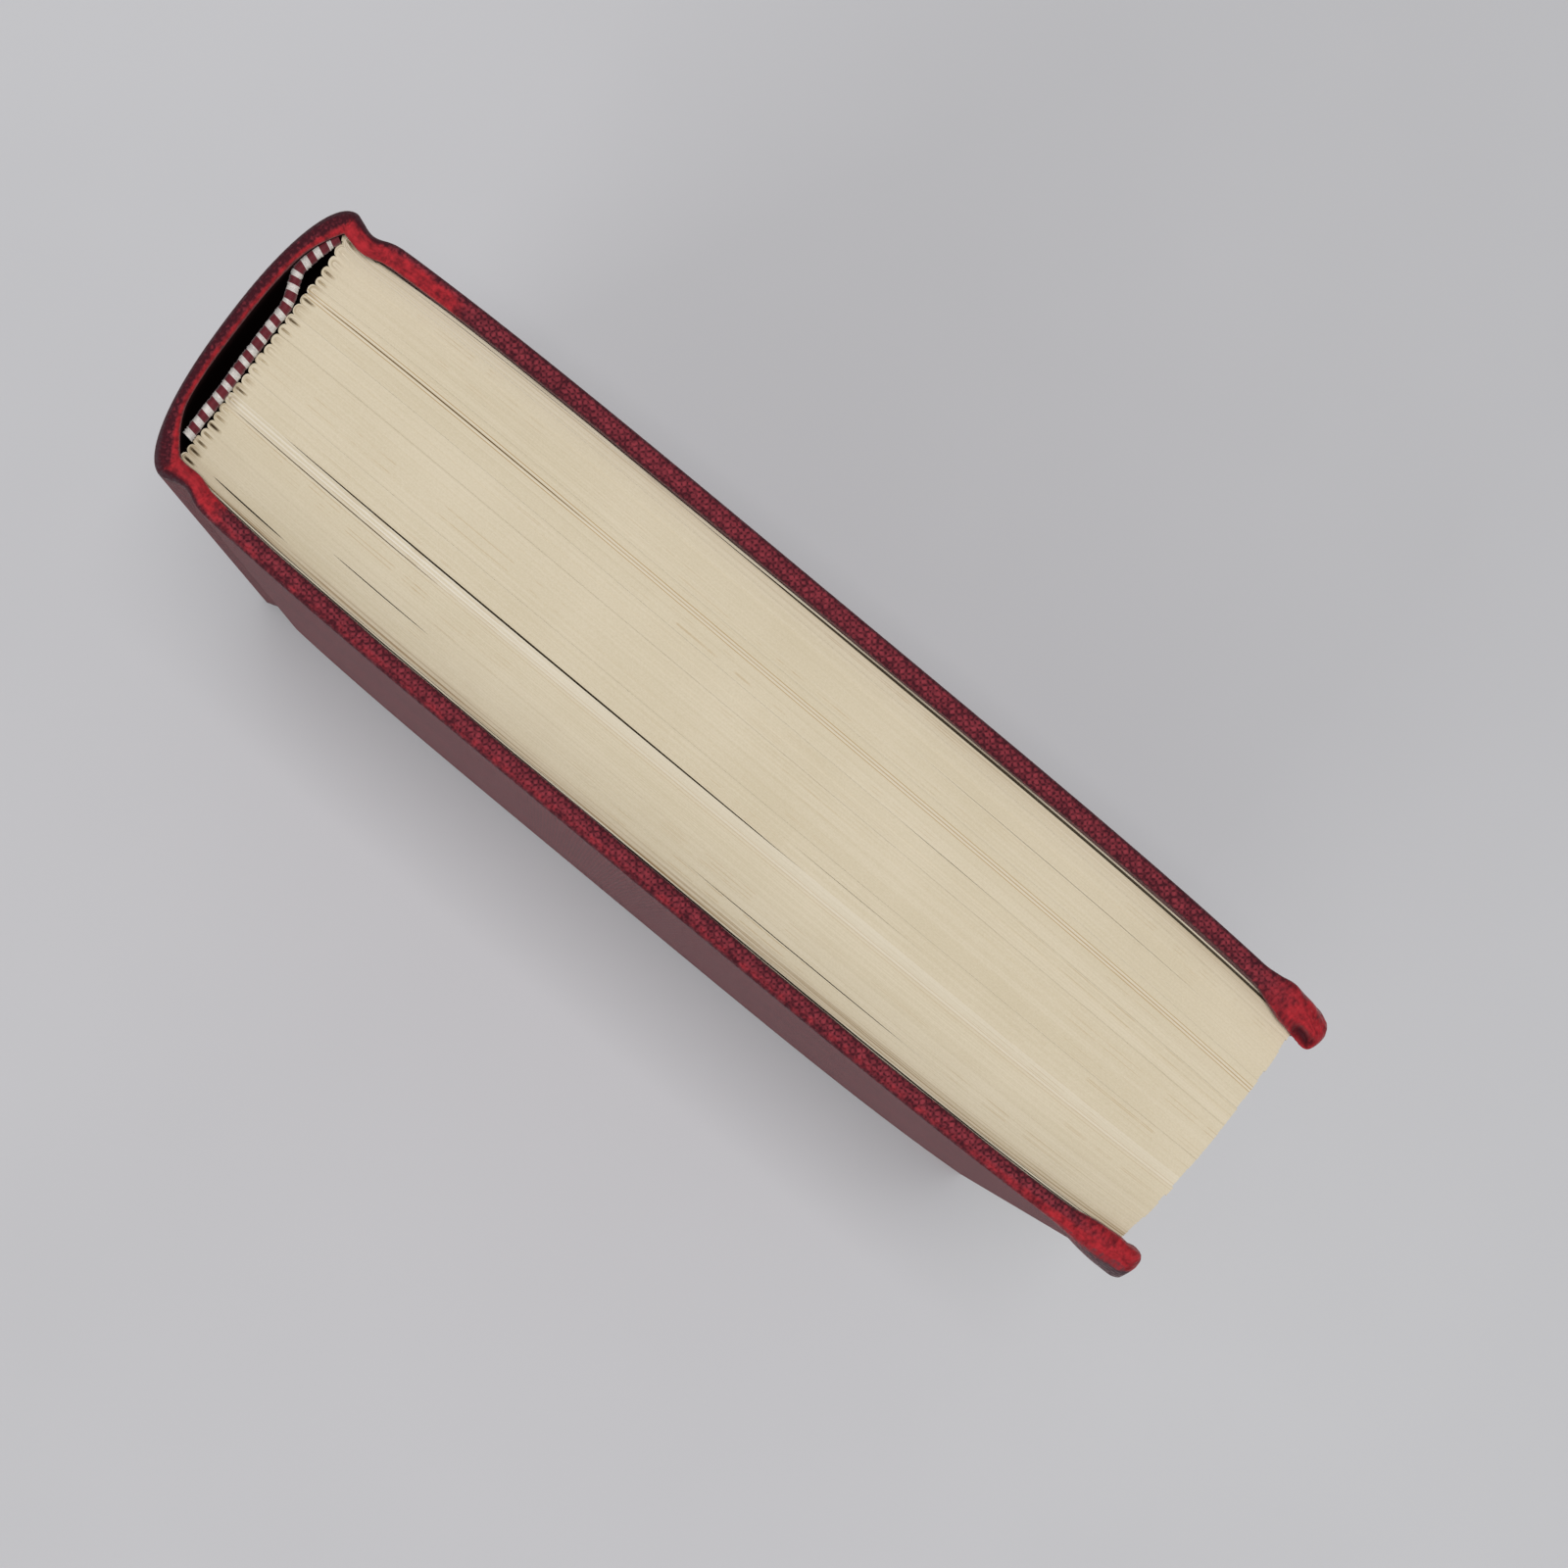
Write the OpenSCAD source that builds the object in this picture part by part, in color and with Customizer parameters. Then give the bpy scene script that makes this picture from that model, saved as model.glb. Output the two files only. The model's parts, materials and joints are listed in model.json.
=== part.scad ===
// Cloth-bound hardcover book standing on its tail, spine towards -X, front cover towards -Y, head up.

/* [Pages] */
// Width of a leaf, from the folded spine to the fore-edge
page_w = 140; // [90:1:180]
// Height of a leaf
page_h = 216; // [140:1:280]
// Thickness of the closed text block at its widest
block_t = 33; // [20:0.5:60]
// Number of folded and sewn gatherings
gatherings = 24; // [8:1:40]
// Depth of the valley between two folded gatherings at the spine
fold_depth = 0.4; // [0.1:0.05:0.8]
// How much shorter the outer gatherings are than the middle one at the fore-edge
fore_round = 0.8; // [0:0.1:3]
// How far the untrimmed leaves wander at the fore-edge
deckle = 0.35; // [0.05:0.05:1]
// How far the gatherings stand above one another at the head and tail
trim_step = 0.12; // [0.05:0.01:0.3]

/* [Covers] */
// Thickness of the board
board_t = 2; // [1.2:0.1:4]
// Thickness of the book cloth
cloth_t = 0.3; // [0.15:0.05:0.6]
// Overhang of the boards past the leaves at the head, tail and fore-edge
square = 3.2; // [2:0.1:6]
// Width of the cloth turned in over the edges of the boards
turn_in = 15; // [8:1:25]
// How far the covers bow outwards between the joint and the fore-edge
bow = 1.3; // [0.2:0.1:3]
// Length of the knocked head corner along each edge of a board
bump_leg = 8; // [5:0.5:9]
// Distance that the knocked corner has curled inwards
bump_in = 0.9; // [0.2:0.1:1.5]
// Radius of the swollen tip of the knocked corner
bump_r = 1.8; // [1.4:0.1:2]

/* [Spine and joints] */
// Distance from the folds of the leaves to the outside of the rounded spine
spine_reach = 5.1; // [4:0.1:9]
// Squareness of the rounded spine, 2 for an ellipse
spine_power = 2.25; // [2:0.05:4]
// Sideways slant that the spine has taken, front joint against back joint
lean = 2; // [0:0.1:4]
// Distance from the folds of the leaves to the middle of the joint groove
joint_x = 2.6; // [2:0.1:5]
// Radius of the round groove, about the hinge line
groove_r = 1.3; // [0.8:0.1:1.6]
// Distance from the middle of the joint to the edge of the board
board_setback = 3.2; // [2.6:0.1:6]
// Height of the hinge line above the cloth, about which the cover turns
hinge_rise = 0.4; // [0.2:0.05:0.6]
// Thickness of the card that stiffens the spine
inlay_t = 0.8; // [0.4:0.1:1.2]
// Thickness of the rolled cloth at the head and tail of the spine, beside the card
headcap_t = 2.3; // [1.5:0.1:2.4]

/* [Papers and linings] */
// Thickness of an endpaper leaf
endpaper_t = 0.2; // [0.1:0.05:0.4]
// Margin of cloth that shows round the pastedown
paste_margin = 5; // [5:0.5:12]
// Distance from the joint edge of the board to the pastedown
paste_joint = 1; // [0.5:0.5:3]
// Distance from the corners of the spine folds to the linings and bands
lining_margin = 1; // [0.5:0.5:3]
// Thickness of the gauze on the spine folds
mull_t = 0.3; // [0.2:0.05:0.6]
// Thickness of the paper over the gauze
lining_t = 0.2; // [0.1:0.05:0.4]

/* [Head and tail bands] */
// Diameter of the corded bead
band_d = 1.5; // [0.8:0.1:1.6]
// Thickness of the band's tape
tape_t = 0.3; // [0.2:0.05:0.5]
// Height of the tape that is glued to the spine folds
tape_h = 10; // [6:1:16]
// How far the glued bead has come away from the leaves beside the back cover
band_loose = 1.3; // [0:0.1:1.3]

/* [Fits] */
// Gap between a closed cover and the text block
cover_gap = 0.3; // [0.3:0.05:0.6]
// Gap between the two halves of the cloth on the hinge line
hinge_gap = 0.3; // [0.3:0.05:0.6]
// Gap between the ends of the linings and the tapes of the bands
lining_gap = 2; // [1:0.5:4]

/* [Hidden] */

cloth_colour = "#5c1a26";
page_colour = "#d6c9ae";
endpaper_colour = "#ddd3bc";
board_colour = "#a08f76";
gauze_colour = "#c9c3b4";
kraft_colour = "#8d6f4c";
band_colour = "#7a2231";

// Heights, from the tail edge of the boards
book_h = page_h + 2 * square;
block_z = square;
head_z = square + page_h;

// Layers from the middle of the book outwards, at the widest place
level_block = block_t / 2;
level_fly = level_block + endpaper_t;
level_paste = level_fly + cover_gap;
level_turn = level_paste + endpaper_t;
level_board_in = level_turn + cloth_t;
level_board_out = level_board_in + board_t;
level_out = level_board_out + cloth_t;

// Places along the width, from the folds of the leaves
fore_x = page_w + square;
board_fore_x = fore_x - cloth_t;
page_end_x = page_w - fore_round - deckle;

// The covers and leaves share one bow, straight between these stations
bow_power = 4;
bow_steps = 24;
bow_start_x = -spine_reach;
bow_table = [for (i = [0:bow_steps])
    let (x = bow_start_x + (fore_x - bow_start_x) * i / bow_steps)
    [x, bow * pow(abs(2 * x / page_w - 1), bow_power)]];
function bow_at(x) = lookup(x, bow_table);
function stations(x0, x1) =
    concat([x0], [for (row = bow_table) if (row[0] > x0 + 0.01 && row[0] < x1 - 0.01) row[0]], [x1]);

function reversed(list) = [for (i = [len(list) - 1:-1:0]) list[i]];

// Joints: side is -1 for the front cover and 1 for the back cover
function lean_at(y) = -lean / 2 * y / spine_half;
function hinge_x(side) = joint_x - side * lean / 2;
function board_x(side) = hinge_x(side) + board_setback;
spine_half = level_out - bow_at(joint_x);
hinge_y = spine_half + hinge_rise;
module joint_round(side, r) translate([hinge_x(side), hinge_y]) circle(r, $fn = 48);

// Rounded spine: a superellipse between the two shoulders, sheared by the lean
spine_step = 5;
inlay_turn = 60;
function power_of(v, p) = sign(v) * pow(abs(v), p);
function spine_point(turn, reach, half) =
    let (y = half * power_of(sin(turn), 2 / spine_power))
    [lean_at(y) - reach * power_of(cos(turn), 2 / spine_power), y];
function spine_arc(from, to, reach, half) =
    [for (turn = [from:spine_step * sign(to - from):to]) spine_point(turn, reach, half)];
function spine_path(reach, half) =
    concat([[hinge_x(1) - hinge_gap / 2, half]], spine_arc(90, -90, reach, half),
        [[hinge_x(-1) - hinge_gap / 2, -half]]);
cloth_path = spine_path(spine_reach, spine_half);
lining_path = spine_path(spine_reach - cloth_t, spine_half - cloth_t);
cap_reach = spine_reach - 2 * cloth_t - inlay_t;
cap_path = spine_path(cap_reach, spine_half - cloth_t - headcap_t);

// Everything is drawn from the folds of the leaves and then centred on the origin
spine_min_x = min([for (p = cloth_path) p[0]]);
centre_x = (spine_min_x + fore_x) / 2;
module centred() translate([-centre_x, 0, 0]) children();

// A band of even thickness that follows the bow, between two layers
module bowed_band(x0, x1, inner, outer)
    polygon(concat([for (x = stations(x0, x1)) [x, inner - bow_at(x)]],
        [for (x = reversed(stations(x0, x1))) [x, outer - bow_at(x)]]));

module bowed_slab(x0, x1, inner, outer, z0, z1)
    translate([0, 0, z0]) linear_extrude(z1 - z0) bowed_band(x0, x1, inner, outer);

// The two strips at the tail and the head
module at_both_ends(length) {
    linear_extrude(length) children();
    translate([0, 0, book_h - length]) linear_extrude(length) children();
}

// Text block: gatherings laid side by side, folded at the spine, each cut a little differently at its edges
half_spine = level_block - bow_at(0);
fold_steps = 6;
fly_start_x = joint_x + lean / 2;
fore_wander = rands(0, 1, gatherings, 11);
head_wander = rands(0, 1, gatherings, 12);
tail_wander = rands(0, 1, gatherings, 13);
// Share of the half thickness at which gathering g starts, from -1 at the front to 1 at the back
function share(g) = 2 * g / gatherings - 1;
function leaf_point(x, g) = [x, share(g) * (level_block - bow_at(x))];
function leaf_side(g) = [for (x = stations(fly_start_x, page_end_x)) leaf_point(x, g)];
function leaf_end_x(g) = page_w - fore_round * pow(share(g + 0.5), 2) - deckle * fore_wander[g];
function fold(g) =
    [for (k = [0:fold_steps])
        let (y = half_spine * share(g + 1 - k / fold_steps))
        [fold_depth * (1 - sin(180 * k / fold_steps)) + lean_at(y), y]];
function gathering(g) = concat(leaf_side(g), [leaf_point(leaf_end_x(g), g), leaf_point(leaf_end_x(g), g + 1)],
    reversed(leaf_side(g + 1)), fold(g));

module text_block()
    color(page_colour)
    for (g = [0:gatherings - 1])
        translate([0, 0, block_z + trim_step * tail_wander[g]])
        linear_extrude(page_h - trim_step * (tail_wander[g] + head_wander[g]))
        polygon(gathering(g));

module flyleaf()
    color(endpaper_colour)
    bowed_slab(fly_start_x, page_end_x, level_block, level_fly, block_z, head_z);

// Linings glued flat over the spine folds, between the tapes of the two bands
lining_half = half_spine - lining_margin;
module spine_layer(near, far)
    translate([0, 0, block_z + tape_h + lining_gap])
    linear_extrude(page_h - 2 * (tape_h + lining_gap))
    polygon([for (end = [[near, -1], [near, 1], [far, 1], [far, -1]])
        [lean_at(end[1] * lining_half) - end[0], end[1] * lining_half]]);

module spine_mull() color(gauze_colour) spine_layer(0, mull_t);

module spine_lining() color(kraft_colour) spine_layer(mull_t, mull_t + lining_t);

// Head and tail bands: a tape with a corded bead, lofted along the spine folds
band_steps = 40;
bead_sides = 12;
bead_start = -90;
bead_sweep = 300;
bead_rise = band_d / 4;
loose_from = 0.4;
loose_to = 1;
function loose_at(y, amount) =
    let (t = (y / lining_half - loose_from) / (loose_to - loose_from))
    t > 0 && t < 1 ? amount * pow(sin(180 * t), 2) : 0;
// Closed outline of tape and bead: distance behind the folds, height over the head, share of the looseness
bend_share = 0.3;
tape_foot = -tape_h;
tape_bend = tape_foot / 3;
function bead_point(k) =
    let (turn = bead_start + bead_sweep * k / bead_sides)
    [band_d / 2 * (1 + cos(turn)), bead_rise + band_d / 2 * sin(turn), 1];
band_section = concat([for (k = [0:bead_sides]) bead_point(k)],
    [[0, tape_bend, bend_share], [0, tape_foot, 0], [tape_t, tape_foot, 0], [tape_t, tape_bend, bend_share]]);
function band_ring(y, amount) =
    [for (p = band_section) [lean_at(y) - p[0] - p[2] * loose_at(y, amount), y, p[1]]];
module band(amount) {
    sides = len(band_section);
    rings = [for (i = [0:band_steps], p = band_ring(lining_half * (2 * i / band_steps - 1), amount)) p];
    walls = [for (i = [0:band_steps - 1], k = [0:sides - 1])
        [i * sides + k, i * sides + (k + 1) % sides, (i + 1) * sides + (k + 1) % sides, (i + 1) * sides + k]];
    front = [for (k = [sides - 1:-1:0]) k];
    back = [for (k = [0:sides - 1]) band_steps * sides + k];
    color(band_colour) polyhedron(rings, concat([front], walls, [back]));
}

module headband() translate([0, 0, head_z]) band(band_loose);

module tailband() translate([0, 0, block_z]) mirror([0, 0, 1]) band(0);

// Spine of the case: card stiffener inside, cloth outside with rolled headcaps
module spine_inlay()
    color(board_colour)
    translate([0, 0, cloth_t]) linear_extrude(book_h - 2 * cloth_t)
    polygon(concat(spine_arc(inlay_turn, -inlay_turn, spine_reach - cloth_t, spine_half - cloth_t),
        spine_arc(-inlay_turn, inlay_turn, cap_reach + cloth_t, spine_half - cloth_t - inlay_t)));

module spine_skin()
    difference() {
        union() {
            polygon(concat(cloth_path, reversed(lining_path)));
            intersection() {
                polygon(concat(cloth_path, reversed(cap_path)));
                union() {
                    joint_round(1, groove_r + cloth_t);
                    on_front() joint_round(-1, groove_r + cloth_t);
                }
            }
        }
        spine_grooves();
    }

module spine_grooves() {
    joint_round(1, groove_r);
    on_front() joint_round(-1, groove_r);
}

module spine_cloth()
    color(cloth_colour) {
        linear_extrude(book_h) spine_skin();
        difference() {
            at_both_ends(turn_in) difference() {
                polygon(concat(cloth_path, reversed(cap_path)));
                spine_grooves();
            }
            spine_inlay();
        }
    }

// Covers, drawn on the back cover's side
cover_r = (level_out - level_turn) / 2;
module knocked_corner_cut(leg)
    translate([fore_x, 0, book_h]) rotate([90, 0, 0])
    linear_extrude(4 * level_out, center = true)
    polygon([[-leg - square, square], [square, square], [square, -leg - square]]);

module bump_ball(from_fore, y, from_head, r)
    translate([fore_x - from_fore, y, book_h - from_head]) sphere(r, $fn = 24);

module knocked_corner() {
    mid_level = level_turn + cover_r;
    tip_y = mid_level - bow_at(fore_x) - bump_in;
    difference() {
        hull() {
            bump_ball(bump_leg, mid_level - bow_at(fore_x - bump_leg), cover_r, cover_r);
            bump_ball(cover_r, mid_level - bow_at(fore_x - cover_r), bump_leg, cover_r);
            bump_ball(bump_r, tip_y, bump_r, bump_r);
        }
        translate([0, 0, -1])
            cube([page_w + cover_gap, level_turn - bow_at(fore_x), head_z + cover_gap + 1]);
    }
}

module board(side)
    color(board_colour)
    difference() {
        bowed_slab(board_x(side), board_fore_x, level_board_in, level_board_out, cloth_t, book_h - cloth_t);
        knocked_corner_cut(bump_leg + 3 * cover_r);
    }

module cover_skin(side) {
    start_x = hinge_x(side) + hinge_gap / 2;
    difference() {
        union() {
            bowed_band(start_x, fore_x, level_board_out, level_out);
            intersection() {
                bowed_band(start_x, board_x(side), level_turn, level_out);
                joint_round(side, groove_r + cloth_t);
            }
        }
        joint_round(side, groove_r);
    }
}

module cover_cloth(side) {
    start_x = hinge_x(side) + hinge_gap / 2;
    bx = board_x(side);
    color(cloth_colour) {
        difference() {
            union() {
                linear_extrude(book_h) cover_skin(side);
                bowed_slab(board_fore_x, fore_x, level_turn, level_out, 0, book_h);
                bowed_slab(board_fore_x - turn_in, fore_x, level_turn, level_board_in, 0, book_h);
                at_both_ends(cloth_t) bowed_band(bx, fore_x, level_turn, level_out);
                at_both_ends(turn_in) bowed_band(bx, fore_x, level_turn, level_board_in);
                at_both_ends(turn_in) difference() {
                    bowed_band(start_x, bx, level_turn, level_out);
                    joint_round(side, groove_r);
                }
            }
            knocked_corner_cut(bump_leg + cover_r);
        }
        knocked_corner();
    }
}

// Endpaper pasted over the board and the turned-in cloth, stepping down between the turn-ins
module pastedown(side) {
    x0 = board_x(side) + paste_joint;
    x1 = fore_x - paste_margin;
    step_x = board_fore_x - turn_in;
    color(endpaper_colour)
    difference() {
        bowed_slab(x0, x1, level_paste, level_board_in, paste_margin, book_h - paste_margin);
        bowed_slab(step_x, fore_x, level_turn, level_out, 0, book_h);
        at_both_ends(turn_in) bowed_band(bow_start_x, fore_x, level_turn, level_out);
        bowed_slab(bow_start_x, step_x - endpaper_t, 0, level_paste + cloth_t,
            turn_in + endpaper_t, book_h - turn_in - endpaper_t);
    }
}

module on_front() mirror([0, 1, 0]) children();

centred() text_block();
centred() on_front() flyleaf();  // front_flyleaf
centred() flyleaf();  // back_flyleaf
centred() spine_mull();
centred() spine_lining();
centred() headband();
centred() tailband();
centred() spine_inlay();
centred() spine_cloth();
centred() on_front() board(-1);  // front_board
centred() board(1);  // back_board
centred() on_front() cover_cloth(-1);  // front_cover_cloth
centred() cover_cloth(1);  // back_cover_cloth
centred() on_front() pastedown(-1);  // front_pastedown
centred() pastedown(1);  // back_pastedown
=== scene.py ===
"""Cloth-bound hardcover book: sewn gatherings, striped bands, endpapers and a worn cloth case.

Settings are in metres. The plan functions work in millimetres of the shared frame, spine towards -X,
front cover towards -Y and head up, and every mesh is written in metres.
"""

import json
import math

import bmesh
import bpy
import numpy as np
from bpy.props import FloatProperty, FloatVectorProperty, IntProperty, PointerProperty
from mathutils import Matrix, Vector


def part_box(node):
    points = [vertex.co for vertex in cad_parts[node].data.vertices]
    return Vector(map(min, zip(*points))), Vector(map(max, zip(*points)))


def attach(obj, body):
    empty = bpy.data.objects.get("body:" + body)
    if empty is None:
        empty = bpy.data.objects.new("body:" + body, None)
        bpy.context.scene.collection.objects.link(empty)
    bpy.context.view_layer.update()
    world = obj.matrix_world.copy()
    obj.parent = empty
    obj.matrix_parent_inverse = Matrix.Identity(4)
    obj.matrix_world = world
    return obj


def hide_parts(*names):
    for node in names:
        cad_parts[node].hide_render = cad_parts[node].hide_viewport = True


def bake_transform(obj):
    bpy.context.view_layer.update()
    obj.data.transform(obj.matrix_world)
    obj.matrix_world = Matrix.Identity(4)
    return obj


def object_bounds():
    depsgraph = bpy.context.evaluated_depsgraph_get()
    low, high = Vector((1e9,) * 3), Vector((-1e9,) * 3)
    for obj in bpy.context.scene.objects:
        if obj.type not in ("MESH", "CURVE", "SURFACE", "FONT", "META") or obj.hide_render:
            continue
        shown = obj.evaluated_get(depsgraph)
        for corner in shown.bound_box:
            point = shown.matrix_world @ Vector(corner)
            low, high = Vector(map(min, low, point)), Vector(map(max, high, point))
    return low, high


bl_info = {
    "name": "Cloth-bound book",
    "version": (1, 0, 0),
    "blender": (4, 5, 0),
    "location": "3D View > Sidebar > Book",
    "description": "Dresses the packed book with gatherings, bands, endpapers, a cloth case and a studio",
    "category": "Object",
}

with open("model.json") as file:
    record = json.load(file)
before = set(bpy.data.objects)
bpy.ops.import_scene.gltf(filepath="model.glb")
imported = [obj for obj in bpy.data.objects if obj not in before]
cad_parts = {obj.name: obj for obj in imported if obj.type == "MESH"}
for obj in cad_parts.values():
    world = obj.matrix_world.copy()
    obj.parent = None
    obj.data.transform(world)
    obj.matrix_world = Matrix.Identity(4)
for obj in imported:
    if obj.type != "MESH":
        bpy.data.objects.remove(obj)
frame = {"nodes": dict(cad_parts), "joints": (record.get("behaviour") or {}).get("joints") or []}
CAD_LOW, CAD_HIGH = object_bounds()
BLOCK_LOW, BLOCK_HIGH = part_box("text_block")
HINGES = {joint["child"]: Vector(joint["pos_m"]) for joint in frame["joints"]}
SIDES = {"front": -1, "back": 1}
MM = 1000.0

# Where the front of some gatherings lies across the block, from -1 at the front to 1 at the back
PLACES = ((0, -1.0), (7, -0.471), (8, -0.379), (18, 0.525), (24, 1.0))
# Places where two gatherings have parted at the head:
# number of the back gathering, from X, to X and width in mm
SLITS = ((1, -64, -53, 0.16), (3, -48, -34, 0.11), (2, 8, 38, 0.1), (7, -67, -36, 0.1), (8, -60, 14, 0.23),
         (9, 14, 30, 0.04), (16, 24, 34, 0.04), (18, -67, -28, 0.1), (21, 20, 60, 0.04))
# Gatherings of a paler paper: number, paleness
PALE = ((7, 1.0), (22, 0.12), (23, 0.25))
# Openings where dust has browned the line between two gatherings: number of the back gathering, strength
RIMS = ((7, 0.5), (18, 1.3))


def display_colour(red, green, blue):
    """Linear colour of an 8-bit display colour, by the sRGB curve."""
    def linear(level):
        part = level / 255
        return part / 12.92 if part <= 0.04045 else ((part + 0.055) / 1.055) ** 2.4
    return linear(red), linear(green), linear(blue), 1.0


def length(name, description, default):
    """A length setting in metres."""
    return FloatProperty(name=name, description=description, default=default, precision=5, unit="LENGTH")


def share(name, description, default):
    """A setting without a unit."""
    return FloatProperty(name=name, description=description, default=default, precision=3)


def power(name, description, default):
    """The power of a lamp in watts."""
    return FloatProperty(name=name, description=description, default=default, unit="POWER")


def place(name, description, subtype, default):
    """A point or a direction in the shared frame."""
    return FloatVectorProperty(name=name, description=description, subtype=subtype, default=default)


def colour(name, description, red, green, blue):
    """A colour setting, given as a display colour."""
    return FloatVectorProperty(name=name, description=description, subtype="COLOR", size=4, min=0, max=1,
                               default=display_colour(red, green, blue))


class BookShape(bpy.types.PropertyGroup):
    """Sizes of the book's pieces."""

    fold_line: length("Fold line", "Place of the spine folds along X", -0.068977)
    page_width: length("Page width", "From the folds to the fore-edge", 0.140)
    page_foot: length("Page foot", "Height of the tail edge of the leaves", BLOCK_LOW.z)
    page_head: length("Page head", "Height of the head edge of the leaves", BLOCK_HIGH.z)
    block_half: length("Half block", "Half the thickness of the text block", BLOCK_HIGH.y + 0.0004)
    gatherings: IntProperty(name="Gatherings", description="Folded and sewn gatherings", default=24)
    fold_depth: length("Fold depth", "Valley between two folds", 0.00052)
    fore_reach: length("Fore-edge reach", "How far the leaves have worked out at the fore-edge", 0.0014)
    fore_round: length("Fore-edge round", "How much shorter the outer gatherings are", 0.0010)
    deckle: length("Deckle", "Wander of the fore-edge from one gathering to the next", 0.00025)
    leaf_step: length("Leaf step", "Wander of the trimmed edges from leaf to leaf", 0.00003)
    fan: share("Fan", "How much the gatherings of the back half spread towards the spine", 0.27)
    seam_gap: length("Seam gap", "Widest gap between two gatherings that lie close", 0.000016)
    slit_depth: length("Slit depth", "How far down from the head the parted places reach", 0.012)
    eye_depth: length("Eye depth", "Depth of the small hollows inside the folds", 0.002)
    bow: length("Bow", "How far covers and leaves bow in towards the joint and fore-edge", 0.0013)
    backing: length("Backing", "How far the last folds have spread over the back joint", 0.0008)
    lean: length("Lean", "Slant of the spine, front joint against back joint", 0.002)
    spine_reach: length("Spine reach", "From the folds to the outside of the spine", 0.0051)
    spine_power: share("Spine squareness", "2 for an ellipse", 2.25)
    groove_depth: length("Groove depth", "Depth of the joint groove", 0.00085)
    groove_width: length("Groove width", "Half width of the joint groove", 0.0019)
    hinge_reach: length("Hinge reach", "How far from the hinge line cloth and paper bend", 0.0026)
    board_setback: length("Board setback", "From the hinge line to the board", 0.0032)
    cover_thick: length("Cover thickness", "Board with the cloth on both sides", 0.00238)
    lip_thick: length("Lip thickness", "Rolled cloth at the middle of the spine", 0.00165)
    front_shoulder: length("Front shoulder", "Thickness of the rolled cloth at the front shoulder", 0.0030)
    back_shoulder: length("Back shoulder", "Thickness of the rolled cloth at the back shoulder", 0.0023)
    joint_thick: length("Joint thickness", "Rolled cloth at the joint grooves", 0.0018)
    edge_round: length("Edge rounding", "Rounding of the covered board edges", 0.00055)
    turn_in: length("Turn-in", "Width of the cloth turned in over the boards", 0.015)
    turn_step: length("Turn-in step", "Height of the turned-in cloth over the board", 0.00012)
    paper_thick: length("Endpaper thickness", "Thickness of an endpaper leaf", 0.00018)
    paste_margin: length("Pastedown margin", "Cloth that shows round the pastedown", 0.005)
    knock_reach: length("Knock reach", "How far a knocked head corner reaches along the edges", 0.0105)
    front_curl: length("Front corner curl", "How far the tip of the front head corner has curled in", 0.0001)
    back_curl: length("Back corner curl", "How far the tip of the back head corner has curled in", 0.0007)
    knock_swell: share("Corner swelling", "How much thicker the knocked corners are", 0.5)
    band_thick: length("Band diameter", "Diameter of the corded bead", 0.0015)
    band_half: length("Half band", "Half the length of the bands", 0.0142)
    band_shift: length("Band shift", "How far the middle of the bands lies towards the back cover", 0.0011)
    band_loose: length("Loose band", "How far the headband has come away near the back cover", 0.0014)
    thread_pitch: length("Thread pitch", "From one thread of a band to the next", 0.00017)
    tape_high: length("Tape height", "Tape of the band on the spine folds", 0.010)


class BookFinish(bpy.types.PropertyGroup):
    """Colours and scales of the materials."""

    cloth: colour("Cloth", "Crowns of the threads of the book cloth", 142, 52, 62)
    # Also painted shade in the crease of the knocked back corner
    cloth_shade: colour("Cloth shade", "Hollows between the threads", 60, 16, 26)
    cloth_worn: colour("Worn cloth", "Rubbed threads on edges and corners", 178, 38, 47)
    cloth_rubbed: colour("Rubbed cloth", "Darker patches of the rubbed edges", 96, 16, 25)
    # Frayed, greyed cloth, also darkened as painted shade on the outer side of the rolled edges
    cloth_fray_shade: colour("Faded cloth", "Frayed outer edges of the cloth", 66, 48, 54)
    # Painted shade: a dark colour for the inside of the hollow back, where little light reaches
    hollow_shade: colour("Inside of the spine", "Inside of the hollow back", 62, 42, 42)
    page: colour("Page", "Edges of the leaves", 213, 201, 178)
    page_shade: colour("Page shade", "Darker leaf edges", 199, 186, 159)
    plate: colour("Plates", "Gathering of paler paper", 227, 220, 207)
    browned: colour("Browned line", "Dust between two parted leaves", 172, 143, 98)
    soil: colour("Soil", "Dust and browning on the paper", 138, 112, 78)
    endpaper: colour("Endpaper", "Flyleaves and pastedowns", 222, 212, 190)
    # Painted shade: a near-black colour for the tape in the hollow below the bands
    band_tape_shade: colour("Band tape", "Tape below the bands, in the hollow", 26, 14, 16)
    band_light: colour("Light thread", "Light stripes of the bands", 228, 222, 216)
    band_dark: colour("Dark thread", "Dark stripes of the bands", 112, 24, 38)
    gauze: colour("Gauze", "Gauze on the folds", 201, 195, 180)
    lining: colour("Lining", "Paper over the gauze", 141, 111, 76)
    weave_pitch: length("Weave pitch", "From one thread of the cloth to the next", 0.00052)


class BookStage(bpy.types.PropertyGroup):
    """Table, camera and light."""

    table: colour("Table", "Plain table top", 196, 196, 199)
    camera_place: place("Camera", "Place of the camera", "XYZ", (-0.003, -0.03034, 0.788))
    camera_target: place("Target", "Point in the middle of the picture", "XYZ", (0.0084, -0.00034, 0.2224))
    camera_up: place("Up", "Direction that points up in the picture", "DIRECTION", (-0.6378, 0.7703, 0.0))
    lens: FloatProperty(name="Lens", description="Focal length", default=114.4, unit="CAMERA")
    sky: share("Sky", "Strength of the even light", 0.29)
    overhead: power("Overhead", "Large soft lamp overhead", 129.0)
    window: power("Window", "Soft lamp on the front cover's side", 13.0)


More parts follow.
